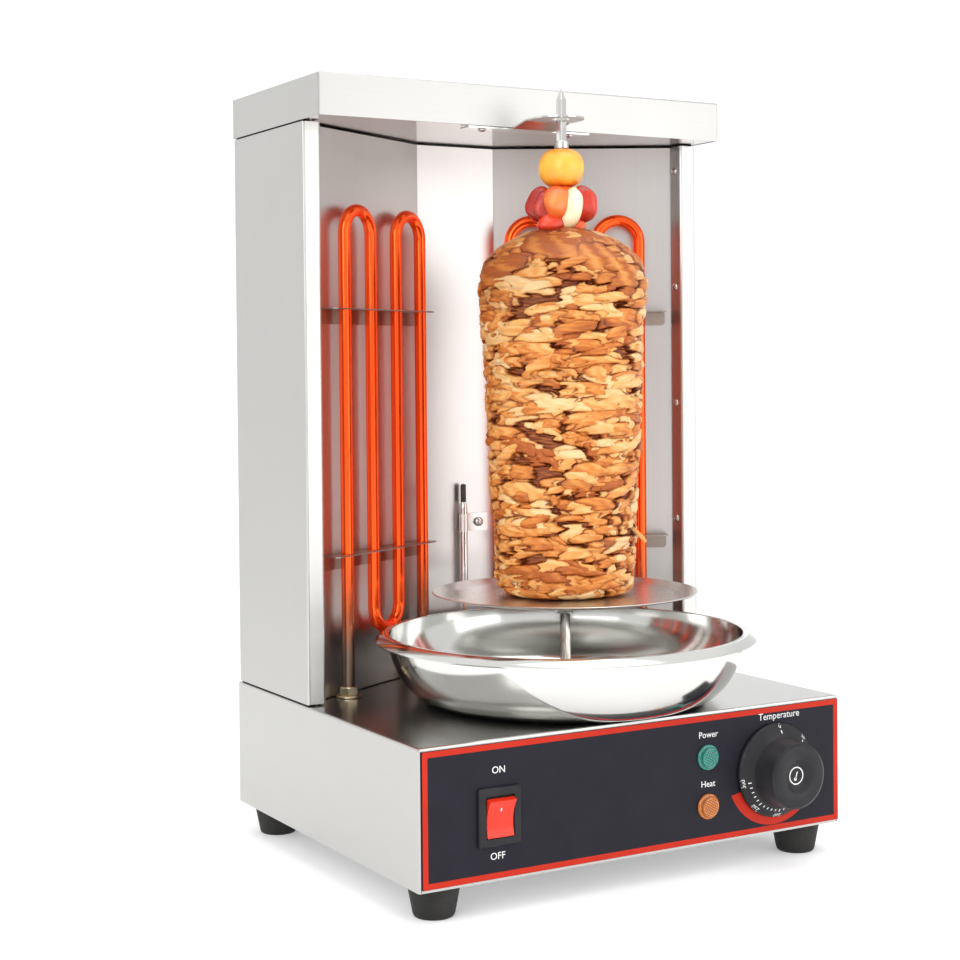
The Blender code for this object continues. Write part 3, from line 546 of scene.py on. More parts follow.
def bright_metal(name, tone, roughness, spun=True, marks=0.04):
    """Polished or plated metal, with fine turning lines round the spit's axis where it is spun."""
    look, nodes, links = blank_material(name)
    output = nodes.new("ShaderNodeOutputMaterial")
    output.label = "Bright metal"
    shader = nodes.new("ShaderNodeBsdfPrincipled")
    shader.label = "Metal surface"
    spot = nodes.new("ShaderNodeTexCoord")
    spot.label = "Place on the piece"
    centred = nodes.new("ShaderNodeMapping")
    centred.label = "From the spit's axis"
    split = nodes.new("ShaderNodeSeparateXYZ")
    split.label = "Height apart"
    across = nodes.new("ShaderNodeCombineXYZ")
    across.label = "Level part"
    reach = nodes.new("ShaderNodeVectorMath")
    reach.label = "Distance from the axis"
    reach.operation = "LENGTH"
    ring = nodes.new("ShaderNodeMath")
    ring.label = "Ring number"
    ring.operation = "ADD"
    lines = nodes.new("ShaderNodeTexNoise")
    lines.label = "Turning lines"
    lines.noise_dimensions = "1D"
    smears = nodes.new("ShaderNodeTexNoise")
    smears.label = "Wiped smears"
    gloss = nodes.new("ShaderNodeMapRange")
    gloss.label = "Gloss by line"
    dulled = nodes.new("ShaderNodeMath")
    dulled.label = "Gloss with smears"
    dulled.operation = "MULTIPLY_ADD"
    shade = nodes.new("ShaderNodeValToRGB")
    shade.label = "Metal tone"
    relief = nodes.new("ShaderNodeBump")
    relief.label = "Line relief"

    lay_out(nodes, {
        "Turning lines": (spot, centred, split, across, reach, ring, lines),
        "Tone and gloss": (smears, gloss, dulled, shade, relief),
        "Surface": (shader, output),
    })
    for node, socket, value in (
        (shader, "Metallic", 1.0), (centred, "Location", (-SPIT.x, -SPIT.y, 0.0)),
        (lines, "Scale", 1600.0 if spun else 300.0), (lines, "Detail", 3.0), (smears, "Scale", 32.0),
        (smears, "Detail", 4.0), (smears, "Distortion", 0.6), (gloss, "To Min", roughness * 0.65),
        (gloss, "To Max", roughness * 1.35), (dulled, 1, marks),
        (relief, "Strength", 0.03 if spun else 0.015), (relief, "Distance", 0.0001),
    ):
        node.inputs[socket].default_value = value
    first, last = shade.color_ramp.elements
    first.position, first.color = 0.30, (*(c * 0.92 for c in tone), 1.0)
    last.position, last.color = 0.72, (*tone, 1.0)

    links.new(spot.outputs["Object"], centred.inputs["Vector"])
    links.new(centred.outputs["Vector"], split.inputs["Vector"])
    links.new(split.outputs["X"], across.inputs["X"])
    links.new(split.outputs["Y"], across.inputs["Y"])
    links.new(across.outputs["Vector"], reach.inputs[0])
    links.new(reach.outputs["Value"], ring.inputs[0])
    links.new(split.outputs["Z"], ring.inputs[1])
    links.new(ring.outputs[0], lines.inputs["W"])
    links.new(spot.outputs["Object"], smears.inputs["Vector"])
    links.new(lines.outputs["Fac"], gloss.inputs["Value"])
    links.new(smears.outputs["Fac"], dulled.inputs[0])
    links.new(gloss.outputs["Result"], dulled.inputs[2])
    links.new(dulled.outputs[0], shader.inputs["Roughness"])
    links.new(smears.outputs["Fac"], shade.inputs["Fac"])
    links.new(shade.outputs["Color"], shader.inputs["Base Color"])
    links.new(lines.outputs["Fac"], relief.inputs["Height"])
    links.new(relief.outputs["Normal"], shader.inputs["Normal"])
    links.new(shader.outputs["BSDF"], output.inputs["Surface"])
    return look


def moulded(name, tone, roughness, grain=900.0, depth=0.10, coat=0.0, wear=0.12):
    """Moulded plastic, rubber, ceramic or paint, with a fine grain and slightly worn patches."""
    look, nodes, links = blank_material(name)
    output = nodes.new("ShaderNodeOutputMaterial")
    output.label = "Moulding"
    shader = nodes.new("ShaderNodeBsdfPrincipled")
    shader.label = "Moulded surface"
    spot = nodes.new("ShaderNodeTexCoord")
    spot.label = "Place on the piece"
    grain_noise = nodes.new("ShaderNodeTexNoise")
    grain_noise.label = "Mould grain"
    patches = nodes.new("ShaderNodeTexNoise")
    patches.label = "Handled patches"
    rough = nodes.new("ShaderNodeMapRange")
    rough.label = "Roughness by grain"
    shade = nodes.new("ShaderNodeValToRGB")
    shade.label = "Colour by patch"
    relief = nodes.new("ShaderNodeBump")
    relief.label = "Grain relief"

    lay_out(nodes, {
        "Grain": (spot, grain_noise, patches),
        "Colour and gloss": (rough, shade, relief),
        "Surface": (shader, output),
    })
    for node, socket, value in (
        (shader, "Specular IOR Level", 0.20), (shader, "Coat Weight", coat),
        (shader, "Coat Roughness", 0.08), (grain_noise, "Scale", grain), (grain_noise, "Detail", 4.0),
        (patches, "Scale", 60.0), (patches, "Detail", 3.0), (rough, "From Min", 0.3),
        (rough, "From Max", 0.7), (rough, "To Min", max(0.02, roughness - 0.06)),
        (rough, "To Max", min(1.0, roughness + 0.06)), (relief, "Strength", depth),
        (relief, "Distance", 0.0002),
    ):
        node.inputs[socket].default_value = value
    first, last = shade.color_ramp.elements
    first.position, first.color = 0.35, (*(c * (1 - wear) for c in tone), 1.0)
    last.position, last.color = 0.70, (*(min(1.0, c * (1 + wear) + wear * 0.01) for c in tone), 1.0)

    links.new(spot.outputs["Object"], grain_noise.inputs["Vector"])
    links.new(spot.outputs["Object"], patches.inputs["Vector"])
    links.new(grain_noise.outputs["Fac"], rough.inputs["Value"])
    links.new(rough.outputs["Result"], shader.inputs["Roughness"])
    links.new(patches.outputs["Fac"], shade.inputs["Fac"])
    links.new(shade.outputs["Color"], shader.inputs["Base Color"])
    links.new(grain_noise.outputs["Fac"], relief.inputs["Height"])
    links.new(relief.outputs["Normal"], shader.inputs["Normal"])
    links.new(shader.outputs["BSDF"], output.inputs["Surface"])
    return look


def glowing_tube(name, settings):
    """Sheathed element: dull oxidised steel at the cold ends, glowing along the rest."""
    look, nodes, links = blank_material(name)
    output = nodes.new("ShaderNodeOutputMaterial")
    output.label = "Element"
    shader = nodes.new("ShaderNodeBsdfPrincipled")
    shader.label = "Element sheath"
    heat = nodes.new("ShaderNodeAttribute")
    heat.label = "Heat along the tube"
    heat.attribute_name = "warmth"
    spot = nodes.new("ShaderNodeTexCoord")
    spot.label = "Place on the tube"
    scale_noise = nodes.new("ShaderNodeTexNoise")
    scale_noise.label = "Oxide mottling"
    uneven = nodes.new("ShaderNodeMath")
    uneven.label = "Uneven heat"
    uneven.operation = "MULTIPLY_ADD"
    centred = nodes.new("ShaderNodeMath")
    centred.label = "Centre the mottling"
    centred.operation = "SUBTRACT"
    sheath = nodes.new("ShaderNodeValToRGB")
    sheath.label = "Sheath colour"
    glow = nodes.new("ShaderNodeValToRGB")
    glow.label = "Glow colour"
    skin = nodes.new("ShaderNodeMapRange")
    skin.label = "Sheath roughness"
    relief = nodes.new("ShaderNodeBump")
    relief.label = "Oxide relief"

    lay_out(nodes, {
        "Heat": (heat, spot, scale_noise, centred, uneven),
        "Sheath": (sheath, glow, skin, relief),
        "Surface": (shader, output),
    })
    for node, socket, value in (
        (shader, "Metallic", 0.85), (shader, "Emission Strength", settings.glow_strength),
        (scale_noise, "Scale", 160.0), (scale_noise, "Detail", 5.0), (uneven, 1, 0.16), (centred, 1, 0.5),
        (skin, "To Min", 0.34), (skin, "To Max", 0.13), (relief, "Strength", 0.06),
        (relief, "Distance", 0.0002),
    ):
        node.inputs[socket].default_value = value
    first, last = sheath.color_ramp.elements
    first.position, first.color = 0.05, (0.20, 0.135, 0.10, 1.0)
    last.position, last.color = 0.95, (0.98, 0.115, 0.018, 1.0)
    warm = sheath.color_ramp.elements.new(0.45)
    warm.color = (0.42, 0.10, 0.035, 1.0)
    first, last = glow.color_ramp.elements
    first.position, first.color = 0.15, (0.0, 0.0, 0.0, 1.0)
    last.position, last.color = 1.0, (*settings.glow, 1.0)
    dull = glow.color_ramp.elements.new(0.50)
    dull.color = (*(c * 0.35 for c in settings.glow), 1.0)

    links.new(spot.outputs["Object"], scale_noise.inputs["Vector"])
    links.new(scale_noise.outputs["Fac"], centred.inputs[0])
    links.new(centred.outputs[0], uneven.inputs[0])
    links.new(heat.outputs["Fac"], uneven.inputs[2])
    links.new(uneven.outputs[0], sheath.inputs["Fac"])
    links.new(uneven.outputs[0], glow.inputs["Fac"])
    links.new(sheath.outputs["Color"], shader.inputs["Base Color"])
    links.new(glow.outputs["Color"], shader.inputs["Emission Color"])
    links.new(heat.outputs["Fac"], skin.inputs["Value"])
    links.new(skin.outputs["Result"], shader.inputs["Roughness"])
    links.new(scale_noise.outputs["Fac"], relief.inputs["Height"])
    links.new(relief.outputs["Normal"], shader.inputs["Normal"])
    links.new(shader.outputs["BSDF"], output.inputs["Surface"])
    return look


def tinted_lens(name, tone, deep):
    """Faceted pilot lamp lens, lit softly from inside, with painted shade that deepens the tint in its
    grooves.
    """
    look, nodes, links = blank_material(name)
    output = nodes.new("ShaderNodeOutputMaterial")
    output.label = "Lens"
    shader = nodes.new("ShaderNodeBsdfPrincipled")
    shader.label = "Lens surface"
    spot = nodes.new("ShaderNodeTexCoord")
    spot.label = "Place on the lens"
    # Low in the grooves, where it deepens the tint: painted shade.
    depth = nodes.new("ShaderNodeAttribute")
    depth.label = "Groove depth"
    depth.attribute_name = "groove_shade"
    haze = nodes.new("ShaderNodeTexNoise")
    haze.label = "Tint haze"
    mixed = nodes.new("ShaderNodeMath")
    mixed.label = "Groove and haze"
    mixed.operation = "MULTIPLY_ADD"
    shade = nodes.new("ShaderNodeValToRGB")
    shade.label = "Lens tint"

    lay_out(nodes, {"Tint": (spot, haze, depth, mixed, shade), "Surface": (shader, output)})
    for node, socket, value in (
        (shader, "Roughness", 0.16), (shader, "Coat Weight", 0.6), (shader, "Coat Roughness", 0.05),
        (shader, "Emission Strength", 0.28), (haze, "Scale", 420.0), (mixed, 1, 0.35),
    ):
        node.inputs[socket].default_value = value
    first, last = shade.color_ramp.elements
    first.position, first.color = 0.30, (*deep, 1.0)
    last.position, last.color = 0.95, (*tone, 1.0)

    links.new(spot.outputs["Object"], haze.inputs["Vector"])
    links.new(haze.outputs["Fac"], mixed.inputs[0])
    links.new(depth.outputs["Fac"], mixed.inputs[2])
    links.new(mixed.outputs[0], shade.inputs["Fac"])
    links.new(shade.outputs["Color"], shader.inputs["Base Color"])
    links.new(shade.outputs["Color"], shader.inputs["Emission Color"])
    links.new(shader.outputs["BSDF"], output.inputs["Surface"])
    return look


def roasted(name, settings):
    """Stacked roast: pale cut faces, browned edges that are darkened further by painted shade in the creases
    between slices, and charred patches.
    """
    look, nodes, links = blank_material(name)
    output = nodes.new("ShaderNodeOutputMaterial")
    output.label = "Roast"
    shader = nodes.new("ShaderNodeBsdfPrincipled")
    shader.label = "Roast surface"
    tone = nodes.new("ShaderNodeAttribute")
    tone.label = "Tone of the slice"
    tone.attribute_name = "tone"
    crease = nodes.new("ShaderNodeAttribute")
    crease.label = "Height above the crease"
    crease.attribute_name = "crease"
    char = nodes.new("ShaderNodeAttribute")
    char.label = "Roasting"
    char.attribute_name = "char"
    spot = nodes.new("ShaderNodeTexCoord")
    spot.label = "Place on the stack"
    stretch = nodes.new("ShaderNodeMapping")
    stretch.label = "Fibre run"
    fibre = nodes.new("ShaderNodeTexNoise")
    fibre.label = "Fibres"
    spice = nodes.new("ShaderNodeTexVoronoi")
    spice.label = "Spice specks"
    pale = nodes.new("ShaderNodeMath")
    pale.label = "Tone with fibres"
    pale.operation = "MULTIPLY_ADD"
    offset = nodes.new("ShaderNodeMath")
    offset.label = "Centre the fibres"
    offset.operation = "SUBTRACT"
    face = nodes.new("ShaderNodeValToRGB")
    face.label = "Cut face colour"
    # Dark brown near the creases: partly browned slice edges, partly painted shade in the creases.
    browned_and_shaded_edges = nodes.new("ShaderNodeMix")
    browned_and_shaded_edges.label = "Browned edges"
    browned_and_shaded_edges.data_type = "RGBA"
    edge = nodes.new("ShaderNodeMapRange")
    edge.label = "How near the crease"
    dark = nodes.new("ShaderNodeMix")
    dark.label = "Charred patches"
    dark.data_type = "RGBA"
    burnt = nodes.new("ShaderNodeMath")
    burnt.label = "Char by fibre"
    burnt.operation = "MULTIPLY"
    speck = nodes.new("ShaderNodeMix")
    speck.label = "Specks"
    speck.data_type = "RGBA"
    is_speck = nodes.new("ShaderNodeMapRange")
    is_speck.label = "Speck size"
    juice = nodes.new("ShaderNodeMapRange")
    juice.label = "Juicy gloss"
    relief = nodes.new("ShaderNodeBump")
    relief.label = "Fibre relief"

    lay_out(nodes, {
        "Slices": (tone, crease, char),
        "Fibres and spice": (spot, stretch, fibre, spice, offset, pale, is_speck),
        "Colour": (face, edge, browned_and_shaded_edges, burnt, dark, speck),
        "Surface": (juice, relief, shader, output),
    })
    for node, socket, value in (
        (shader, "Subsurface Weight", 0.08), (shader, "Subsurface Radius", (0.004, 0.0015, 0.0008)),
        (shader, "Specular IOR Level", 0.35), (shader, "Coat Weight", 0.12),
        (shader, "Coat Roughness", 0.25), (stretch, "Scale", (1.0, 1.0, 4.0)), (fibre, "Scale", 260.0),
        (fibre, "Detail", 6.0), (fibre, "Roughness", 0.7), (fibre, "Distortion", 0.5),
        (spice, "Scale", 210.0), (spice, "Randomness", 1.0), (pale, 1, 0.55), (offset, 1, 0.5),
        (browned_and_shaded_edges, 7, (0.170, 0.030, 0.004, 1.0)), (edge, "From Min", 0.62), (edge, "From Max", 0.0),
        (dark, 7, (0.085, 0.016, 0.003, 1.0)), (speck, 7, (0.20, 0.045, 0.010, 1.0)),
        (is_speck, "From Min", 0.13), (is_speck, "From Max", 0.05), (is_speck, "To Max", 0.75),
        (juice, "To Min", 0.58), (juice, "To Max", 0.36), (relief, "Strength", 0.45),
        (relief, "Distance", 0.0006),
    ):
        node.inputs[socket].default_value = value
    first, last = face.color_ramp.elements
    first.position, first.color = 0.02, (*settings.browned, 1.0)
    last.position, last.color = 1.0, (*settings.pale, 1.0)
    amber = face.color_ramp.elements.new(0.34)
    amber.color = (0.70, 0.235, 0.038, 1.0)
    straw = face.color_ramp.elements.new(0.64)
    straw.color = (0.82, 0.43, 0.135, 1.0)

    links.new(spot.outputs["Object"], stretch.inputs["Vector"])
    links.new(stretch.outputs["Vector"], fibre.inputs["Vector"])
    links.new(spot.outputs["Object"], spice.inputs["Vector"])
    links.new(fibre.outputs["Fac"], offset.inputs[0])
    links.new(offset.outputs[0], pale.inputs[0])
    links.new(tone.outputs["Fac"], pale.inputs[2])
    links.new(pale.outputs[0], face.inputs["Fac"])
    links.new(crease.outputs["Fac"], edge.inputs["Value"])
    links.new(edge.outputs["Result"], browned_and_shaded_edges.inputs[0])
    links.new(face.outputs["Color"], browned_and_shaded_edges.inputs[6])
    links.new(char.outputs["Fac"], burnt.inputs[0])
    links.new(fibre.outputs["Fac"], burnt.inputs[1])
    links.new(burnt.outputs[0], dark.inputs[0])
    links.new(browned_and_shaded_edges.outputs[2], dark.inputs[6])
    links.new(spice.outputs["Distance"], is_speck.inputs["Value"])
    links.new(is_speck.outputs["Result"], speck.inputs[0])
    links.new(dark.outputs[2], speck.inputs[6])
    links.new(speck.outputs[2], shader.inputs["Base Color"])
    links.new(fibre.outputs["Fac"], juice.inputs["Value"])
    links.new(juice.outputs["Result"], shader.inputs["Roughness"])
    links.new(fibre.outputs["Fac"], relief.inputs["Height"])
    links.new(relief.outputs["Normal"], shader.inputs["Normal"])
    links.new(shader.outputs["BSDF"], output.inputs["Surface"])
    return look


def fresh(name, skin, flesh, deep, coat):
    """Roasted fruit or vegetable: the attribute 'ripe' runs from flesh to skin."""
    look, nodes, links = blank_material(name)
    output = nodes.new("ShaderNodeOutputMaterial")
    output.label = "Garnish"
    shader = nodes.new("ShaderNodeBsdfPrincipled")
    shader.label = "Moist surface"
    ripe = nodes.new("ShaderNodeAttribute")
    ripe.label = "Flesh to skin"
    ripe.attribute_name = "ripe"
    spot = nodes.new("ShaderNodeTexCoord")
    spot.label = "Place on the garnish"
    veins = nodes.new("ShaderNodeTexNoise")
    veins.label = "Mottled skin"
    centred = nodes.new("ShaderNodeMath")
    centred.label = "Centre the mottling"
    centred.operation = "SUBTRACT"
    blend = nodes.new("ShaderNodeMath")
    blend.label = "Mottled ripeness"
    blend.operation = "MULTIPLY_ADD"
    shade = nodes.new("ShaderNodeValToRGB")
    shade.label = "Flesh, skin and scorch"
    gloss = nodes.new("ShaderNodeMapRange")
    gloss.label = "Moist gloss"
    relief = nodes.new("ShaderNodeBump")
    relief.label = "Skin relief"

    lay_out(nodes, {
        "Ripeness": (ripe, spot, veins, centred, blend),
        "Colour and gloss": (shade, gloss, relief),
        "Surface": (shader, output),
    })
    for node, socket, value in (
        (shader, "Subsurface Weight", 0.15), (shader, "Subsurface Radius", (0.006, 0.002, 0.001)),
        (shader, "Coat Weight", coat), (shader, "Coat Roughness", 0.15), (veins, "Scale", 130.0),
        (veins, "Detail", 5.0), (centred, 1, 0.5), (blend, 1, 0.5), (gloss, "To Min", 0.30),
        (gloss, "To Max", 0.46), (relief, "Strength", 0.20), (relief, "Distance", 0.0006),
    ):
        node.inputs[socket].default_value = value
    first, last = shade.color_ramp.elements
    first.position, first.color = 0.08, (*flesh, 1.0)
    last.position, last.color = 1.0, (*deep, 1.0)
    bright = shade.color_ramp.elements.new(0.62)
    bright.color = (*skin, 1.0)

    links.new(spot.outputs["Object"], veins.inputs["Vector"])
    links.new(veins.outputs["Fac"], centred.inputs[0])
    links.new(centred.outputs[0], blend.inputs[0])
    links.new(ripe.outputs["Fac"], blend.inputs[2])
    links.new(blend.outputs[0], shade.inputs["Fac"])
    links.new(shade.outputs["Color"], shader.inputs["Base Color"])
    links.new(veins.outputs["Fac"], gloss.inputs["Value"])
    links.new(gloss.outputs["Result"], shader.inputs["Roughness"])
    links.new(veins.outputs["Fac"], relief.inputs["Height"])
    links.new(relief.outputs["Normal"], shader.inputs["Normal"])
    links.new(shader.outputs["BSDF"], output.inputs["Surface"])
    return look


# Shared looks and fasteners ----------------------------------------------------------------------


METALS = {
    "spit_steel": ((0.74, 0.73, 0.71), 0.16, 0.04),
    "zinc_plate": ((0.60, 0.60, 0.61), 0.30, 0.12),
    "scorched_zinc": ((0.40, 0.33, 0.29), 0.32, 0.12),
    "warm_brass": ((0.74, 0.63, 0.44), 0.26, 0.10),
    "bare_copper": ((0.80, 0.42, 0.28), 0.26, 0.10),
    "screw_steel": ((0.66, 0.65, 0.63), 0.20, 0.06),
}


def metal(kind):
    """Fetch a metal by name, and make it the first time it is asked for."""
    made = bpy.data.materials.get(kind)
    if made:
        return made
    if kind == "polished_steel":
        steel = bpy.context.scene.broiler_steel
        return bright_metal(kind, steel.bright_tone, steel.bright_roughness)
    tone, roughness, marks = METALS[kind]
    return bright_metal(kind, tone, roughness, spun=False, marks=marks)


def cross_head(radius, rise):
    """Mesh of a round screw head with a cross recess, standing on z = 0."""
    name = f"cross_head_{round(radius * 1e5)}"
    made = bpy.data.meshes.get(name)
    if made:
        return made
    dome = [(0, rise), (radius * 0.35, rise * 0.97), (radius * 0.66, rise * 0.80)]
    dome += [(radius * 0.88, rise * 0.50)]
    dome += [(radius * 0.985, rise * 0.22), (radius, 0), (radius * 0.96, -rise * 0.1), (0, -rise * 0.1)]
    blade, wing, depth = radius * 0.13, radius * 0.56, rise * 0.45
    plus = [(blade, wing), (-blade, wing), (-blade, blade), (-wing, blade), (-wing, -blade), (-blade, -blade)]
    plus += [(-x, -y) for x, y in plus]
    made = cut_mesh(turned(dome, 28), extruded(plus, depth, rise * 2))
    made.name = name
    return made


def screwed(name, radius, rise, at, facing, body="housing", stands_for=(), twist=0.4):
    """Put one cross-headed screw at a point, with its head towards a direction."""
    turn = Vector(facing).to_track_quat("Z", "Y").to_matrix().to_4x4()
    place = Matrix.Translation(at) @ turn @ Matrix.Rotation(twist, 4, "Z")
    head = cross_head(radius, rise).copy()
    return placed(name, head, metal("screw_steel"), body, stands_for, 30.0, place)


# Pieces and their operators ----------------------------------------------------------------------


def tower_hems(look):
    """Bright rolled edge up each front corner of the tower."""
    roll = 0.0011
    bottom, top = TOWER_LOW.z + 0.0004, TOWER_HIGH.z - 0.0004
    for side, word in ((-1, "left"), (1, "right")):
        x, y = side * (TOWER_HIGH.x - roll), TOWER_LOW.y + roll * 0.55
        path = [Vector((x, y, z)) for z in (bottom, (bottom + top) / 2, top)]
        finished("tower_hem_" + word, swept(path, roll, 20), look, "housing")


def tower_seals():
    """Dark strips in the gaps under the tower and under the cap: painted shade of those seams."""
    # Near-black strips that stand for the shade inside the seams.
    seam_shade_look = moulded("seam_painted_shade", (0.020, 0.018, 0.017), 0.75, 500.0, 0.15)
    inset, wall = 0.0016, 0.0022
    left, right = TOWER_LOW.x + inset, TOWER_HIGH.x - inset
    front, back = TOWER_LOW.y + inset, TOWER_HIGH.y - inset
    section = thickened([(left, front), (left, back), (right, back), (right, front)], wall)
    for name, low, high in (
        ("tower_foot_shade_strip", BASE_TOP + 0.00005, TOWER_LOW.z + 0.0010),
        ("tower_head_shade_strip", TOWER_HIGH.z - 0.0010, CAP_LOW.z + 0.0002),
    ):
        finished(name, extruded(section, low, high), seam_shade_look, "housing")


class BROILER_OT_cabinet(bpy.types.Operator):
    """Finish the base, tower, cap and rear panels, and add their hems and the painted shade in their seams"""

    bl_idname = "broiler.cabinet"
    bl_label = "Cabinet"

    def execute(self, context):
        steel = context.scene.broiler_steel
        across, upright = (9.0, 700.0, 700.0), (700.0, 700.0, 9.0)
        lengthwise = (700.0, 9.0, 700.0)
        sheet = brushed_steel(
            "brushed_sheet", steel.sheet_tone, steel.sheet_roughness, across, lengthwise,
        )
        tower = brushed_steel(
            "tower_sheet", steel.sheet_tone, steel.sheet_roughness, upright, upright,
        )
        # The flange steel is the sheet tone made 10% brighter: painted light for the stronger light that
        # falls on the front flange.
        flange = brushed_steel(
            "flange_sheet_painted_light", [min(1.0, c * 1.10) for c in steel.sheet_tone], steel.sheet_roughness * 0.8,
            upright, upright,
        )
        top = brushed_steel(
            "base_sheet", steel.sheet_tone, steel.sheet_roughness * 0.62, (30.0, 420.0, 420.0),
            (420.0, 30.0, 420.0),
            depth=0.004,
        )
        finishes = {
            "base_body": top, "tower_shell": tower, "top_cap": sheet, "rear_panel": sheet,
            "front_flange_left": flange, "front_flange_right": flange, "bottom_plate": metal("zinc_plate"),
        }
        for node, look in finishes.items():
            give_look(node, look)
        # The hems wear the flange steel, so they carry its painted light too.
        tower_hems(flange)
        tower_seals()
        return {"FINISHED"}


def give_look(node, look):
    """Give a frame node its finish."""
    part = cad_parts[node]
    if not part.material_slots:
        part.data.materials.append(look)
    for holder in part.material_slots:
        holder.material = look


class BROILER_OT_reflector(bpy.types.Operator):
    """Finish the reflector, the roof sheet and the screws that hold the liner"""

    bl_idname = "broiler.reflector"
    bl_label = "Reflector"

    def execute(self, context):
        steel = context.scene.broiler_steel
        upright = (520.0, 520.0, 12.0)
        liner = brushed_steel("liner_sheet", steel.liner_tone, steel.liner_roughness, upright, upright,
            depth=0.004)
        roof = brushed_steel(
            "roof_sheet_steel", steel.liner_tone, steel.liner_roughness * 0.5, (12.0, 520.0, 520.0),
            (520.0, 12.0, 520.0), depth=0.003,
        )
        give_look("reflector_liner", liner)
        give_look("roof_sheet", roof)
        _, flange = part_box("front_flange_left")
        first, pitch = 0.112, 0.0885
        for side, word in ((-1, "left"), (1, "right")):
            for row in range(4):
                at = (side * (abs(flange.x) + 0.0001), flange.y - 0.0048, BASE_TOP + first + row * pitch)
                screwed(f"liner_screw_{word}_{row + 1}", 0.0030, 0.0016, at, (-side, 0, 0), twist=0.3 + row)
        return {"FINISHED"}


def element_legs(word):
    """Four points on the base, one under each leg, from the outer leg inwards."""
    outer, inner = middle(f"element_bushing_{word}_outer"), middle(f"element_bushing_{word}_inner")
    return [outer.lerp(inner, leg / 3) for leg in range(4)]


def heating_element(word, heat, sheath):
    """One tube: up the outer leg, over, down, under, up, over, and down the inner leg."""
    legs = element_legs(word)
    along = (legs[3] - legs[0]).normalized()
    loop = (legs[1] - legs[0]).length / 2
    low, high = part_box("heating_element_" + word)
    top = high.z - heat.tube_radius - loop
    dip = BASE_BOTTOM + heat.dip_height + loop
    start, end = legs[0].copy(), legs[3].copy()
    start.z = end.z = low.z + 0.0002
    path = [start]
    steps, sides = 24, 20
    for first, centre_z, sign in ((0, top, 1), (1, dip, -1), (2, top, 1)):
        for step in range(steps + 1):
            angle = math.pi * step / steps
            point = legs[first] + along * (loop - loop * math.cos(angle))
            point.z = centre_z + sign * loop * math.sin(angle)
            path.append(point)
    path = spaced([*path, end], 0.006)
    tube = swept(path, heat.tube_radius, sides)
    piece = finished("element_" + word, tube, sheath, "housing", ["heating_element_" + word])
    store_warmth(piece, path, sides, heat.cold_length)


def spaced(path, pitch):
    """Add points on long straight runs, so that the heat can fade along them."""
    dense = [path[0]]
    for before, after in zip(path, path[1:]):
        parts = max(1, round((after - before).length / pitch))
        dense += [before.lerp(after, part / parts) for part in range(1, parts + 1)]
    return dense


def store_warmth(piece, path, sides, cold_length):
    """Store on each vertex how hot the tube is there, from its distance to the nearer end."""
    run = [0.0]
    for before, after in zip(path, path[1:]):
        run.append(run[-1] + (after - before).length)
    buried = BASE_TOP - path[0].z
    heat = []
    for reach in run:
        from_end = min(reach, run[-1] - reach) - buried
        heat += [max(0.0, min(1.0, (from_end - cold_length * 0.35) / cold_length))] * sides
    store(piece, "warmth", heat)


def element_bushings(word, heat):
    """Brass nut, washer and sleeve round the tube where it leaves the base."""
    bore, across, sleeve_radius = heat.tube_radius + 0.0003, 0.0066, 0.0056
    for place in ("outer", "inner"):
        node = f"element_bushing_{word}_{place}"
        centre, (low, high) = middle(node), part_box(node)
        washer, top = (high.x - low.x) / 2, high.z - BASE_TOP
        collar = [(bore, -0.0055), (washer * 0.56, -0.0055), (washer * 0.56, 0.0003), (washer * 0.97, 0.0003)]
        collar += [(washer, 0.0006), (washer, 0.0014), (washer * 0.96, 0.0017), (across, 0.0018)]
        collar += [(bore, 0.0018)]
        sleeve = [(bore, 0.0018), (sleeve_radius, 0.0018), (sleeve_radius, top - 0.0002)]
        sleeve += [(sleeve_radius - 0.0004, top), (bore, top)]
        nut = hex_nut(bore, across, 0.0019, top - 0.0004)
        bm = merged(turned(collar, 36, True), nut, turned(sleeve, 36, True))
        moved(bm, Matrix.Translation((centre.x, centre.y, BASE_TOP)))
        finished(f"bushing_{word}_{place}", bm, metal("warm_brass"), "housing", [node], 30.0)


def hex_nut(bore, across, bottom, top):
    """Six-sided nut with chamfered corners."""
    bm = bmesh.new()
    loops = []
    for radius, height, sharp in (
        (bore + 0.0004, bottom, 0), (across * 0.93, bottom, 0), (across, bottom + 0.0006, 1),
        (across, top - 0.0006, 1), (across * 0.93, top, 0), (bore + 0.0004, top, 0),
    ):
        ring = []
        for step in range(36):
            angle = math.tau * step / 36
            local = (angle % (math.pi / 3)) - math.pi / 6
            flat = 0.90 / math.cos(local) if sharp else min(0.97, 0.90 / math.cos(local))
            spread = radius * (flat if radius > bore + 0.001 else 1.0)
            ring.append(bm.verts.new((spread * math.cos(angle), spread * math.sin(angle), height)))
        loops.append(ring)
    bridged(bm, loops, True)
    return bm


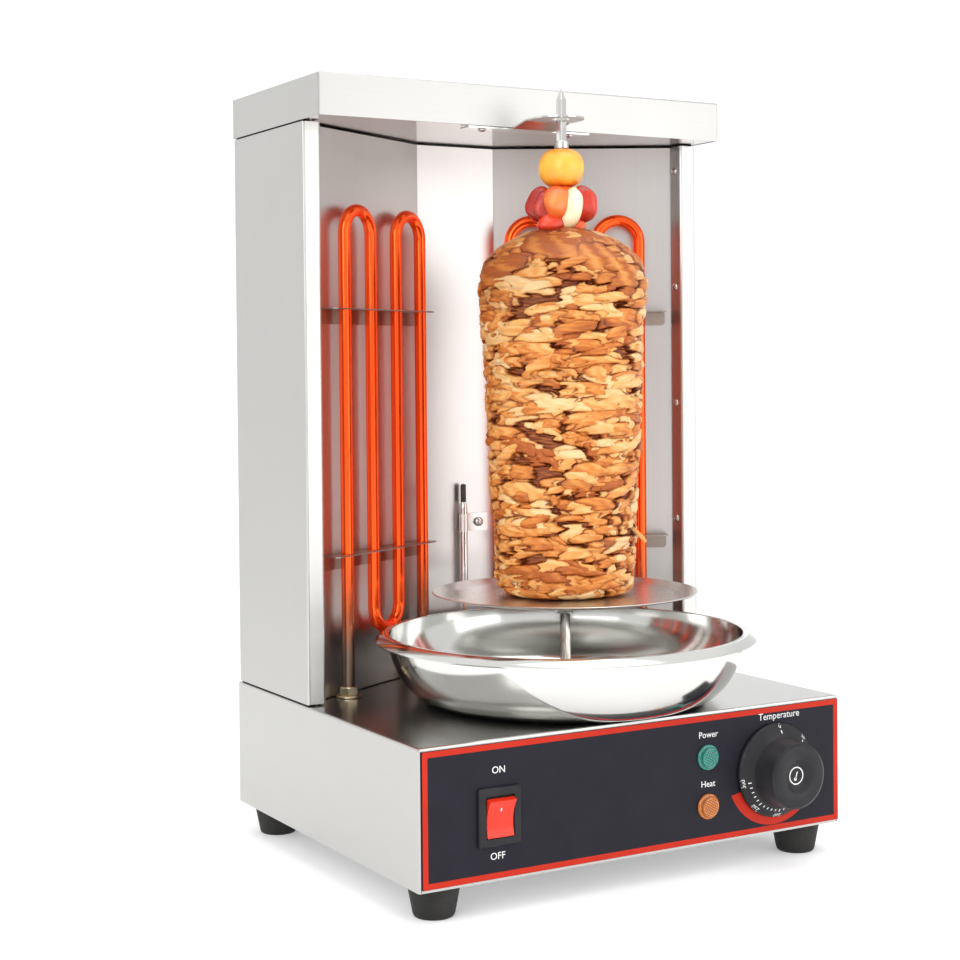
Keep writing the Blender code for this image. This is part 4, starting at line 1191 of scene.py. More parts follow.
def element_supports(word, heat):
    """Shelf with four holes for the legs, rounded ends, and a lip on the liner."""
    sheet, hole_radius, beyond = 0.0008, heat.tube_radius + 0.0006, 0.01
    legs = element_legs(word)
    along = (legs[3] - legs[0]).normalized()
    along.z = 0.0
    inward = Vector((-along.y, along.x, 0.0))
    if inward.dot(SPIT - legs[1]) < 0:
        inward = -inward
    turn = Matrix((along, inward, (0, 0, 1))).transposed().to_4x4()
    drill = [(0, -beyond), (hole_radius, -beyond), (hole_radius, beyond), (0, beyond)]
    for level in ("lower", "upper"):
        node = f"element_support_{word}_{level}"
        low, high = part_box(node)
        offsets = [v.co - legs[0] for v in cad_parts[node].data.vertices]
        spans, depths = [o.dot(along) for o in offsets], [o.dot(inward) for o in offsets]
        first, last, near, far = min(spans), max(spans), min(depths), max(depths)
        shelf = extruded(rounded_outline((first, near), (last, far), 0.0034, 5), 0, sheet)
        holes = [turned(drill, 32, at=((leg - legs[0]).dot(along), 0, 0)) for leg in legs]
        bm = reopened(cut_mesh(shelf, merged(*holes)))
        drop = rounded_outline((first, low.z - high.z + sheet), (last, sheet), 0.0026, 5)
        bend = [Vector((x, near + 0.0007, 0.0003)) for x in (first + 0.003, last - 0.003)]
        bm = merged(bm, extruded(drop, near, near + sheet, "y"), swept(bend, 0.0006, 10))
        moved(bm, Matrix.Translation((legs[0].x, legs[0].y, high.z - sheet)) @ turn)
        finished(f"support_{word}_{level}", bm, metal("scorched_zinc"), "housing", [node], 30.0)


class BROILER_OT_elements(bpy.types.Operator):
    """Build the two glowing elements with their bushings and slotted supports"""

    bl_idname = "broiler.elements"
    bl_label = "Heating elements"

    def execute(self, context):
        heat = context.scene.broiler_heaters
        sheath = glowing_tube("element_sheath", heat)
        for word in ("left", "right"):
            heating_element(word, heat, sheath)
            element_bushings(word, heat)
            element_supports(word, heat)
        return {"FINISHED"}


def store(piece, name, values):
    """Keep one number for each vertex under a name that a material reads."""
    attribute = piece.data.attributes.new(name, "FLOAT", "POINT")
    attribute.data.foreach_set("value", np.asarray(values, np.float32))


def bulb_clip(centre, radius):
    """Band round the bulb that ends in a tab under a screw."""
    low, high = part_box("bulb_clip")
    screw = middle("bulb_clip_screw")
    wall, band, hug, steps = high.y, 0.0007, radius + 0.0004, 28
    path = [(x, wall - band) for x in (high.x, screw.x, centre.x + radius + 0.0018)]
    for step in range(steps + 1):
        angle = math.radians(40 - 262 * step / steps)
        path.append((centre.x + hug * math.cos(angle), centre.y + hug * math.sin(angle)))
    bm = extruded(thickened(path, band), low.z, high.z)
    level = [e for e in bm.edges if abs(e.verts[0].co.z - e.verts[1].co.z) < 1e-6]
    bmesh.ops.bevel(bm, geom=level, offset=0.0001, segments=1, affect="EDGES")
    even = (90.0, 90.0, 90.0)
    look = brushed_steel("clip_plate", (0.86, 0.85, 0.83), 0.42, even, even)
    finished("sensor_clip", bm, look, "housing", ["bulb_clip"], 40.0)
    at = (screw.x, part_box("bulb_clip_screw")[0].y + 0.0018, screw.z)
    screwed("clip_screw", 0.0034, 0.0018, at, (0, -1, 0), stands_for=["bulb_clip_screw"], twist=0.75)


class BROILER_OT_sensor(bpy.types.Operator):
    """Build the thermostat's sensing bulb, with its clip, screw and capillary"""

    bl_idname = "broiler.sensor"
    bl_label = "Sensing bulb"

    def execute(self, context):
        centre, (low, high) = middle("sensing_bulb"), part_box("sensing_bulb")
        radius = (high.x - low.x) / 2
        tip = high.z
        profile = [(0, tip), (0.0009, tip - 0.0006), (0.0012, tip - 0.0020), (0.0013, tip - 0.0105)]
        profile += [(0.0018, tip - 0.0130), (radius * 0.96, tip - 0.0175), (radius, tip - 0.0195)]
        profile += [(radius, tip - 0.046), (radius * 0.97, tip - 0.0465), (radius, tip - 0.0470)]
        profile += [(radius, low.z + 0.0062), (radius * 0.9, low.z + 0.0035), (0.0013, low.z + 0.0006)]
        profile += [(0, low.z)]
        axis = (centre.x, centre.y, 0)
        bm = turned(profile, 28, at=axis)
        finished("sensor_bulb", bm, metal("spit_steel"), "housing", ["sensing_bulb"], 40.0)
        sleeve_look = moulded("scorched_tip", (0.055, 0.050, 0.048), 0.42, 600.0, 0.12)
        sleeve = [(0.0014, tip - 0.0160), (0.0020, tip - 0.0160), (0.0021, tip - 0.0152)]
        sleeve += [(0.0021, tip - 0.0015)]
        sleeve += [(0.0016, tip - 0.0007), (0.0010, tip - 0.0006)]
        bm = turned(sleeve, 24, True, axis)
        finished("sensor_tip", bm, sleeve_look, "housing", sharp=40.0)
        bulb_clip(centre, radius)
        give_look("capillary_tube", metal("bare_copper"))
        return {"FINISHED"}


class BROILER_OT_bowl(bpy.types.Operator):
    """Build the polished drip bowl with its flared rim and raised collar"""

    bl_idname = "broiler.bowl"
    bl_label = "Drip bowl"

    def execute(self, context):
        radius, rim, bottom = (BOWL_HIGH.x - BOWL_LOW.x) / 2, BOWL_HIGH.z, BOWL_LOW.z
        wall, throat = 0.0009, 0.0155
        foot, side = 0.090, radius - 0.0085
        outer = []
        for step in range(15):
            t = step / 14
            outer.append((
                foot + (side - foot) * math.sin(t * math.pi / 2) ** 0.9,
                bottom + (rim - 0.0012 - bottom) * (1 - math.cos(t * math.pi / 2)) ** 0.85,
            ))
        outer[0] = (foot, bottom)
        outer.insert(0, (foot - 0.006, bottom))
        inner = [(r - wall, z + wall * 0.9) for r, z in outer]
        ledge = [(side + 0.0012, rim - 0.0012), (side + 0.0022, rim - 0.0012)]
        ledge += [(radius - 0.0020, rim - 0.0054)]
        ledge += [(radius - 0.0012, rim - 0.0061), (radius - 0.0003, rim - 0.0058), (radius, rim - 0.0050)]
        ledge += [(radius - 0.0004, rim - 0.0043), (side + 0.0034, rim - 0.0004), (side + 0.0022, rim)]
        ledge += [(side + 0.0008, rim - 0.0003), (side - 0.0004, rim - 0.0012)]
        top = bottom + 0.0125
        collar = [(throat + 0.0060, bottom + wall), (throat + 0.0024, bottom + 0.0022)]
        collar += [(throat + 0.0012, top - 0.0006)]
        collar += [(throat + 0.0006, top), (throat, top - 0.0006), (throat + 0.0008, bottom + 0.0010)]
        collar += [(throat + 0.0030, bottom)]
        profile = outer + ledge + inner[::-1] + collar
        finished(
            "bowl_shell", turned(profile, 144, True, SPIT), metal("polished_steel"), "bowl",
            ["drip_bowl", "bowl_collar"], 38.0,
        )
        return {"FINISHED"}


def skewer_bar(steel):
    """Square bar with eased corners and a drawn-out point."""
    corner = max((v.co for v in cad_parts["skewer"].data.vertices), key=lambda c: c.x - c.z * 0.001)
    turn = math.atan2(corner.y - SPIT.y, corner.x - SPIT.x) - math.pi / 4
    half, ease, point = 0.0026, 0.0005, 0.0078
    levels = [(SKEWER_LOW.z, 0.82), (SKEWER_LOW.z + 0.0010, 1.0), (SKEWER_HIGH.z - point, 1.0)]
    levels += [(SKEWER_HIGH.z - point * 0.93, 0.90), (SKEWER_HIGH.z - 0.0008, 0.14), (SKEWER_HIGH.z, 0.015)]
    bm = bmesh.new()
    rings = []
    for height, share in levels:
        wide = half * share
        outline = rounded_outline((-wide, -wide), (wide, wide), ease * share, 3)
        rings.append([bm.verts.new((x, y, height)) for x, y in outline])
    bridged(bm, rings)
    bm.faces.new(rings[0][::-1])
    bm.faces.new(rings[-1])
    moved(bm, Matrix.Translation(SPIT) @ Matrix.Rotation(turn, 4, "Z"))
    finished("skewer_bar", bm, steel, "spit", ["skewer"], 28.0)


def hub_and_collar(steel):
    """Hub under the plate and the collar above the food."""
    bore, top = 0.0050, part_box("plate_hub")[1].z
    hub = [(bore, top), (0.0116, top), (0.0120, top - 0.0004), (0.0120, top - 0.0014), (0.0112, top - 0.0022)]
    hub += [(0.0078, top - 0.0034), (0.0070, top - 0.0050), (0.0068, top - 0.0112), (0.0062, top - 0.0118)]
    hub += [(bore, top - 0.0118)]
    low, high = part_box("skewer_collar")
    ring = [(0.0040, low.z), (0.0047, low.z), (0.0050, low.z + 0.0003), (0.0050, high.z - 0.0003)]
    ring += [(0.0047, high.z), (0.0040, high.z)]
    for name, profile, steps, node in (
        ("hub_ring", hub, 48, "plate_hub"), ("collar_ring", ring, 40, "skewer_collar"),
    ):
        finished(name, turned(profile, steps, True, SPIT), steel, "spit", [node], 32.0)


def steady_bracket(steel):
    """Thin tongue that steadies the top of the skewer."""
    low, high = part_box("spit_bracket")
    sheet, rise, half, hole_radius, bar = 0.0012, 0.0035, 0.018, 0.0065, high.x
    under, bar_front, beyond = high.z - sheet - rise, CAP_LOW.y + 0.0015, 0.01
    path = [(high.y, under), (CAP_LOW.y - 0.004, under), (CAP_LOW.y - 0.022, under + rise)]
    path += [(low.y, under + rise)]
    section = thickened([p.to_2d() for p in filleted([(y, z, 0) for y, z in path], 0.006, 8)], sheet)
    drill = [(0, -0.02), (hole_radius, -0.02), (hole_radius, 0.02), (0, 0.02)]
    mesh = cut_mesh(extruded(section, -bar, bar, "x"), turned(drill, 40, at=(SPIT.x, SPIT.y, under)))
    outline = [(half, bar_front), (half, low.y + half)]
    for degrees in range(5, 91, 5):
        angle = math.radians(degrees)
        outline.append((half * math.cos(angle), low.y + half - half * math.sin(angle)))
    outline += [(0, low.y - beyond), (bar + beyond, low.y - beyond), (bar + beyond, bar_front)]
    for side in (-1, 1):
        waste = extruded([(side * x, y) for x, y in outline], under - 0.01, under + 0.02)
        mesh = cut_mesh(reopened(mesh), waste)
    placed("steady_bracket", mesh, steel, "housing", ["spit_bracket"], 30.0)
    for number in (1, 2):
        node = f"bracket_screw_{number}"
        centre, (screw_low, _) = middle(node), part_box(node)
        at = (centre.x, centre.y, screw_low.z + 0.0016)
        screwed(f"bracket_fixing_{number}", 0.0030, 0.0016, at, (0, 0, -1), stands_for=[node])


class BROILER_OT_spit(bpy.types.Operator):
    """Build the square skewer, its plate, hub and collar, and the bracket that steadies its top"""

    bl_idname = "broiler.spit"
    bl_label = "Spit"

    def execute(self, context):
        steel = metal("spit_steel")
        skewer_bar(steel)
        radius, under, top = (PLATE_HIGH.x - PLATE_LOW.x) / 2, PLATE_LOW.z, PLATE_HIGH.z
        sheet, bore = 0.0009, 0.0051
        flat = [(bore, under), (radius - 0.0150, under), (radius - 0.0105, under + 0.0003)]
        flat += [(radius - 0.0012, top - sheet - 0.0002), (radius - 0.0003, top - 0.0009)]
        flat += [(radius, top - 0.0004)]
        flat += [(radius - 0.0006, top), (radius - 0.0014, top - 0.0001)]
        flat += [(radius - 0.0107, under + sheet + 0.0003)]
        flat += [(radius - 0.0152, under + sheet), (bore, under + sheet)]
        look = bright_metal("plate_steel", (0.84, 0.84, 0.81), 0.27)
        bm = turned(flat, 128, True, SPIT)
        finished("food_plate", bm, look, "spit", ["spit_plate"], 40.0)
        hub_and_collar(steel)
        steady_bracket(steel)
        give_look("drive_shaft", metal("zinc_plate"))
        give_look("shaft_bush", metal("warm_brass"))
        return {"FINISHED"}


def stack_radius(share):
    """Radius of the stack at shares of its height: narrow foot, broad shoulder, domed crown."""
    known = [0.0, 0.006, 0.014, 0.03, 0.10, 0.30, 0.52, 0.70, 0.80, 0.865, 0.905, 0.94, 0.965, 0.985, 1.0]
    radii = [39.0, 43.0, 45.2, 46.4, 46.4, 48.2, 51.0, 54.6, 56.4, 56.2, 52.6, 45.0, 36.0, 25.0, 9.0]
    return np.interp(share, known, radii) * MILLIMETRE


def ripples(turn, height, rng, count, pitch):
    """Sum of waves that runs round the stack without a break, from -1 to 1."""
    field = np.zeros_like(turn)
    for _ in range(count):
        around = max(1, int(round(pitch * 0.05 * rng.uniform(0.4, 1.4))))
        up = pitch * rng.uniform(0.6, 2.4) * rng.choice([-1, 1])
        field += np.sin(around * turn + up * height * 4 + rng.uniform(0, math.tau))
    return field / count ** 0.5 / 1.6


def lay_slice(draw, food, places, fields, number):
    """Lay one lens-shaped slice on the stack, over whatever lies lower there."""
    turn, height, body, warp, warp_up = places
    bottom, tall = MEAT_LOW.z, MEAT_HIGH.z - MEAT_LOW.z
    middle_turn = draw.uniform(0, math.tau)
    middle_up = draw.uniform(bottom - 0.001, MEAT_HIGH.z - 0.004)
    size = 0.42 + 1.15 * draw.random() ** 2.0
    half_long = food.slice_length * 0.5 * size * draw.uniform(0.75, 1.35)
    half_thick = food.slice_thickness * 0.5 * (0.50 + 0.62 * size) * draw.uniform(0.75, 1.30)
    tilt = math.radians(draw.gauss(0, 15))
    level = draw.uniform(-0.0016, 0.0012)
    swell = draw.uniform(0.0010, 0.0026)
    paleness = min(1.0, max(0.0, draw.gauss(0.47, 0.27)))
    blunt = draw.uniform(1.7, 3.0)
    row = int((middle_up - bottom) / tall * (UP - 1))
    radius = body[min(max(row, 0), UP - 1), 0]
    if radius < 0.012:
        return
    spare = 0.004
    reach = int((half_thick * 1.5 + half_long * abs(math.sin(tilt)) + spare) / tall * UP) + 2
    rows = np.arange(max(0, row - reach), min(UP, row + reach + 1))
    reach = int((half_long + spare) / radius / math.tau * AROUND) + 2
    column = int(middle_turn / math.tau * AROUND)
    area = np.ix_(rows, np.arange(column - reach, column + reach + 1) % AROUND)
    across = ((turn[area] - middle_turn + math.pi) % math.tau - math.pi) * radius + warp[area]
    up = height[area] - middle_up + warp_up[area]
    along = across * math.cos(tilt) + up * math.sin(tilt)
    over = up * math.cos(tilt) - across * math.sin(tilt) + half_thick * 0.35 * (along / half_long) ** 2
    inside = 1 - np.abs(along / half_long) ** 2.2 - np.abs(over / half_thick) ** blunt
    offered = level + swell * np.sqrt(np.clip(inside, 0, 1))
    wins = (inside > 0) & (offered > fields[0][area])
    fibre = 0.10 * np.sin(over / half_thick * 5 + along * 420 + middle_turn * 9)
    # Painted light and shade on each slice: paler towards its upper side, darker towards its lower side. The
    # tone also falls towards the slice's ends.
    fibre += 0.16 * over / half_thick - 0.30 * np.clip(np.abs(along / half_long) - 0.45, 0, 1)
    # Low at the slice's rim, where the roast is darkened as browned edge and as painted crease shade.
    faces = 0.22 + 0.80 * np.clip(inside, 0, 1) ** 0.5
    for field, value in zip(fields, (offered, faces, paleness + fibre, np.full_like(offered, number))):
        field[area] = np.where(wins, value, field[area])


def slice_seams(piece_of):
    """How near each place is to the line where two slices meet, 1 on the line."""
    met = (piece_of != np.roll(piece_of, -1, 0)).astype(float)
    met = np.maximum(met, 0.35 * (piece_of != np.roll(piece_of, 1, 1)))
    for fade in (0.50, 0.35):
        spread = met.copy()
        for axis in (0, 1):
            for way in (-1, 1):
                spread = np.maximum(spread, fade * np.roll(met, way, axis))
        met = spread
    return met


def lay_flaps(turn, height, fields, warp_up):
    """Broad crisp flaps that hang over the shoulder."""
    shoulder = 0.054
    # facing, distance under the top, half length, half thickness, lean, tone
    for number, (facing, drop, long, thick, lean, pale) in enumerate((
        (34, 0.026, 0.032, 0.0135, -0.42, 0.26), (-8, 0.014, 0.030, 0.0100, -0.10, 0.20),
        (-52, 0.030, 0.026, 0.0090, 0.25, 0.10), (88, 0.022, 0.028, 0.0110, -0.20, 0.18),
        (140, 0.024, 0.030, 0.0120, 0.20, 0.15), (205, 0.020, 0.032, 0.0110, -0.25, 0.22),
        (262, 0.026, 0.026, 0.0100, 0.15, 0.12),
    ), 1):
        across = ((turn - FACE - math.radians(facing) + math.pi) % math.tau - math.pi) * shoulder
        up = height - (MEAT_HIGH.z - drop) + warp_up * 1.5
        along = across * math.cos(lean) + up * math.sin(lean)
        over = up * math.cos(lean) - across * math.sin(lean)
        inside = 1 - np.abs(along / long) ** 2.4 - np.abs(over / thick) ** 2.4
        shape = np.clip(inside, 0, 1) ** 0.4
        offered = 0.0004 + 0.0022 * shape
        wins = (inside > 0) & (offered > fields[0])
        faces = np.clip(inside, 0, 1) ** 0.5
        grain = pale + 0.22 * np.sin(along * 260 + over * 420) * shape
        for field, value in zip(fields, (offered, faces, grain, np.full_like(offered, -number))):
            field[wins] = value[wins]


def charring(turn, share, broad, small):
    """How strongly each place is roasted: the crown, the side at the elements, and patches."""
    patches = np.clip(broad * 0.7 + small * 0.50 - 0.28, 0, 1)
    crown = np.clip((share - 0.76) / 0.24, 0, 1) ** 0.8
    near_element = FACE - math.radians(62)
    side = np.clip(np.cos(turn - near_element), 0, 1) ** 2 * np.clip((share - 0.25) / 0.6, 0, 1)
    return np.clip(patches * 0.95 + crown * 0.50 + side * 0.50 * (0.6 + 0.4 * small), 0, 1)


def closed_shell(rows):
    """Close the rows of points into one surface, with flat ends round the skewer."""
    up, around = rows.shape[:2]
    index = np.arange(up * around).reshape(up, around)
    lower, upper = index[:-1], index[1:]
    quads = np.stack([lower, np.roll(lower, -1, 1), np.roll(upper, -1, 1), upper], axis=-1).reshape(-1, 4)
    faces = quads.tolist()
    for column in range(around):
        following = (column + 1) % around
        faces.append((int(index[0, following]), int(index[0, column]), up * around))
        faces.append((int(index[-1, column]), int(index[-1, following]), up * around + 1))
    ends = [(SPIT.x, SPIT.y, height) for height in (rows[0, 0, 2], rows[-1, 0, 2])]
    mesh = bpy.data.meshes.new("roast_stack")
    mesh.from_pydata(rows.reshape(-1, 3).tolist() + ends, [], faces)
    mesh.update()
    return mesh


def loose_strips(look):
    """Slivers that stand out of the stack's side."""
    draw = random.Random(5)
    strips = [(86, 0.046, 0.0470, 0.017, -0.95, 0.0022), (92, 0.040, 0.0466, 0.009, -1.1, 0.0016)]
    for _ in range(16):
        strips.append((
            draw.uniform(-180, 180), draw.uniform(0.02, 0.20), None, draw.uniform(0.006, 0.010),
            draw.uniform(-1.0, 0.2), draw.uniform(0.0009, 0.0015),
        ))
    for number, (facing, rise, start, long, fall, thick) in enumerate(strips, 1):
        angle = FACE + math.radians(facing)
        share = rise / (MEAT_HIGH.z - MEAT_LOW.z)
        root = start or float(stack_radius(np.array([share]))[0]) + 0.0004
        out = Vector((math.cos(angle), math.sin(angle), 0))
        round_way = Vector((-out.y, out.x, 0))
        lean = out * (0.75 if start else 0.22) + round_way * (0.1 if start else 0.9)
        step = (lean.normalized() + Vector((0, 0, fall))).normalized() * long
        base = SPIT + out * (root - 0.003) + Vector((0, 0, MEAT_LOW.z + rise))
        bends = [base + step * 0.35 + out * 0.0006, base + step * 0.7 + out * 0.0004]
        path = eased([base, *bends, base + step], 5)
        bm = swept(path, thick, 12, 0.6, lambda t: (0.55 + 1.5 * t * (1 - t)) * (1 if t < 0.97 else 0.5))
        strip = finished(f"loose_strip_{number}", bm, look, "spit", sharp=60.0)
        count = len(strip.data.vertices)
        store(strip, "tone", [draw.uniform(0.3, 0.6)] * count)
        store(strip, "crease", [0.8] * count)
        store(strip, "char", [0.15] * count)


class BROILER_OT_roast(bpy.types.Operator):
    """Build the stacked roast from many overlapping slices on one closed surface"""

    bl_idname = "broiler.roast"
    bl_label = "Roast stack"

    def execute(self, context):
        food = context.scene.broiler_food
        draw = random.Random(food.seed)
        rng = np.random.default_rng(food.seed)
        angle = np.linspace(0, math.tau, AROUND, endpoint=False)
        share = np.linspace(0, 1, UP)
        turn, height = np.meshgrid(angle, share)
        share = share[:, None]
        height = MEAT_LOW.z + (MEAT_HIGH.z - MEAT_LOW.z) * height
        body = stack_radius(share) * np.ones_like(turn)
        body += 0.0012 * np.sin(2 * turn + 7 * share) + 0.0008 * np.sin(5 * turn - 15 * share)

        def waves(count, pitch):
            """The ripples of this stack, at one pitch."""
            return ripples(turn, height, rng, count, pitch)

        rough = waves(12, 420.0)
        lift = -0.0022 + 0.0005 * rough
        crease = np.clip(0.16 + 0.30 * rough, 0, 1)
        tone = np.clip(0.12 + 0.20 * rough, 0, 1)
        warp = waves(7, 90.0) * 0.0022 + waves(9, 170.0) * 0.0014
        warp_up = waves(7, 150.0) * 0.0018 + waves(9, 230.0) * 0.0009
        fields = (lift, crease, tone, np.zeros(turn.shape))
        for number in range(1, food.slices + 1):
            lay_slice(draw, food, (turn, height, body, warp, warp_up), fields, number)
        lay_flaps(turn, height, fields, warp_up)
        # Painted shade in the creases where slices meet: the tone and the crease value drop there, and the
        # surface dips a little.
        seam = slice_seams(fields[-1]) * np.clip(0.50 + 0.65 * waves(9, 120.0), 0.12, 1)
        crease -= 0.80 * seam
        tone -= 0.18 * seam
        lift -= 0.0012 * seam
        lift += waves(14, 520.0) * 0.00022
        crown = np.clip((share - 0.90) / 0.10, 0, 1)
        tone -= crown * 0.30
        radius = np.maximum(body + lift * (1 - 0.65 * crown), 0.0056)
        char = charring(turn, share, waves(6, 34.0), waves(10, 190.0))
        rows = np.stack([radius * np.cos(turn) + SPIT.x, radius * np.sin(turn) + SPIT.y, height], axis=-1)
        mesh = closed_shell(rows)
        look = roasted("roast", food)
        piece = placed("roast_stack", mesh, look, "spit", ["meat_stack"], 80.0)
        for name, field, at_ends in (("tone", tone, 0.3), ("crease", crease, 0.3), ("char", char, 0.2)):
            store(piece, name, [*field.ravel(), at_ends, at_ends])
        loose_strips(look)
        return {"FINISHED"}


def dimpled_ball(level, radius, half, dent):
    """Rounded ball with a dimple at each end, where the skewer goes in."""
    profile = []
    for step in range(29):
        angle = -math.pi / 2 + math.pi * step / 28
        r = radius * max(0.0, math.cos(angle)) ** 0.60
        z = half * math.sin(angle)
        z -= math.copysign(dent * 0.006 * max(0.0, 1 - r / 0.009) ** 2, z)
        profile.append((r if 0 < step < 28 else 0.0, z))
    bm = turned(profile, 56)
    for vert in bm.verts:
        turn = math.atan2(vert.co.y, vert.co.x)
        swell = 1 + 0.020 * math.sin(3 * turn + 1) + 0.012 * math.sin(5 * turn - vert.co.z * 300)
        vert.co.xy *= swell
    return moved(bm, Matrix.Translation((SPIT.x, SPIT.y, level)))


def shade_ball(ball, low, high):
    """Deeper orange towards the ends of the ball."""
    ripe = []
    for vert in ball.data.vertices:
        share = (vert.co.z - low) / (high - low)
        ripe.append(max(0.0, min(1.0, 0.12 + 1.5 * abs(share - 0.52) ** 1.7)))
    store(ball, "ripe", ripe)


def fruit_wedge(name, level, facing, out, up, wide, tall, ripe, look, lean):
    """Crescent of fruit that lies against the core, thin at its rim."""
    bm = bmesh.new()
    bmesh.ops.create_icosphere(bm, subdivisions=4, radius=1.0)
    ripeness = []
    for vert in bm.verts:
        x, y, z = vert.co
        ripeness.append(max(0.0, min(1.0, ripe + 0.30 * abs(z) ** 2 - 0.15 * x * (1 - ripe))))
        fold = 1 + 0.10 * math.sin(4 * z + 3 * y + out * 900)
        depth = 0.0080 * (1 - 0.55 * y * y)
        vert.co = Vector((x * depth * fold - 0.0050 * y * y - 0.0035 * z * z, y * wide, z * tall))
    place = Matrix.Translation((SPIT.x, SPIT.y, level)) @ Matrix.Rotation(FACE + math.radians(facing), 4, "Z")
    moved(bm, place @ Matrix.Translation((out, 0, up)) @ Matrix.Rotation(lean, 4, "X"))
    piece = finished(name, bm, look, "spit", sharp=80.0)
    store(piece, "ripe", ripeness)


class BROILER_OT_garnish(bpy.types.Operator):
    """Build the cut tomato and the yellow ball on top of the stack"""

    bl_idname = "broiler.garnish"
    bl_label = "Garnish"

    def execute(self, context):
        low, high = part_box("onion")
        yellow = fresh("yellow_skin", (0.88, 0.27, 0.012), (0.96, 0.50, 0.050), (0.62, 0.10, 0.008), 0.35)
        bm = dimpled_ball(middle("onion").z, 0.0157, (high.z - low.z) / 2 + 0.0004, 0.30)
        ball = finished("yellow_ball", bm, yellow, "spit", ["onion"], 80.0)
        shade_ball(ball, low.z, high.z)
        red = fresh("tomato_skin", (0.74, 0.040, 0.006), (0.90, 0.27, 0.045), (0.34, 0.010, 0.004), 0.35)
        cream = fresh("pale_flesh", (0.95, 0.66, 0.30), (0.97, 0.86, 0.56), (0.85, 0.30, 0.06), 0.30)
        low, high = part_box("tomato")
        level = middle("tomato").z
        bm = dimpled_ball(level, 0.0165, (high.z - low.z) / 2 + 0.001, 0.35)
        core = finished("tomato_core", bm, red, "spit", ["tomato"], 80.0)
        store(core, "ripe", [0.40] * len(core.data.vertices))
        # facing, distance out, height, half width, half height, ripeness, skin, lean
        wedges = (
            (64, 0.0192, 0.0010, 0.0098, 0.0130, 0.78, red, 0.35),
            (30, 0.0165, -0.0020, 0.0086, 0.0148, 0.05, cream, -0.28),
            (-16, 0.0166, 0.0010, 0.0112, 0.0122, 0.30, red, 0.15),
            (-46, 0.0172, -0.0015, 0.0088, 0.0125, 0.90, red, 0.1),
            (-78, 0.0175, 0.0010, 0.0095, 0.0130, 0.95, red, -0.1),
            (-120, 0.0160, -0.0010, 0.0090, 0.0125, 0.15, cream, 0.1),
            (-160, 0.0170, 0.0, 0.0095, 0.0130, 0.70, red, 0.0),
            (162, 0.0165, -0.0012, 0.0085, 0.0135, 0.20, cream, -0.1),
            (112, 0.0172, 0.0005, 0.0095, 0.0125, 0.75, red, 0.1),
            (-34, 0.0170, -0.0130, 0.0108, 0.0090, 0.62, red, 0.6),
            (50, 0.0125, -0.0145, 0.0080, 0.0060, 0.50, red, -0.3),
        )
        for number, shape in enumerate(wedges, 1):
            fruit_wedge(f"tomato_wedge_{number}", level, *shape)
        return {"FINISHED"}


def printed(name, bm, look, body="housing"):
    """Put a layer of ink on a face."""
    finished(name, bm, look, body, sharp=20.0)


def printed_word(name, words, x, z, size, look):
    """Print a word on the panel."""
    printed(name, moved(lettering(words, size, INK), facing_cook(x, FACE_Y, z)), look)


def panel_film(settings, film, red, white):
    """Dark film with rounded corners, its border, the band round the dial and the words."""
    give_look("front_overlay", film)
    outer, inner = (
        rounded_outline(
            (OVERLAY_LOW.x + inset, OVERLAY_LOW.z + inset),
            (OVERLAY_HIGH.x - inset, OVERLAY_HIGH.z - inset), radius,
        )
        for inset, radius in ((0.00015, 0.0008), (settings.border_width, 0.0006))
    )
    printed("panel_border", ringed(outer, inner, FACE_Y - INK, FACE_Y + 0.00001), red)
    dial_band(red)
    power, heat = middle("power_lamp_body"), middle("hot_lamp_body")
    for name, words, x, z, size in (
        ("word_on", settings.on_word, SWITCH.x + 0.0002, BASE_BOTTOM + 0.0690, 0.0062),
        ("word_off", settings.off_word, SWITCH.x - 0.0008, BASE_BOTTOM + 0.0157, 0.0062),
        ("word_power", settings.power_word, power.x + 0.0008, power.z + 0.0148, 0.0060),
        ("word_heat", settings.heat_word, heat.x + 0.0004, heat.z + 0.0147, 0.0060),
        ("word_dial", settings.dial_word, DIAL.x + 0.0044, BASE_BOTTOM + 0.0795, 0.0066),
    ):
        printed_word(name, words, x, z, size, white)


def dial_band(red):
    """Arc that starts under the dial with a square end and tapers away along its own circle."""
    centre_x, centre_z, outer, inner = DIAL.x - 0.0006, BASE_BOTTOM + 0.0450, 0.0390, 0.0300
    first, last, steps = math.radians(203), math.radians(306), 48
    angles = [first + (last - first) * step / steps for step in range(steps + 1)]
    outline = [(centre_x + outer * math.cos(a), centre_z + outer * math.sin(a)) for a in angles]
    outline += [(DIAL.x + inner * math.cos(a), DIAL.z + inner * math.sin(a)) for a in reversed(angles)]
    printed("dial_band", extruded(outline, FACE_Y - INK, FACE_Y + 0.00001, "y"), red)


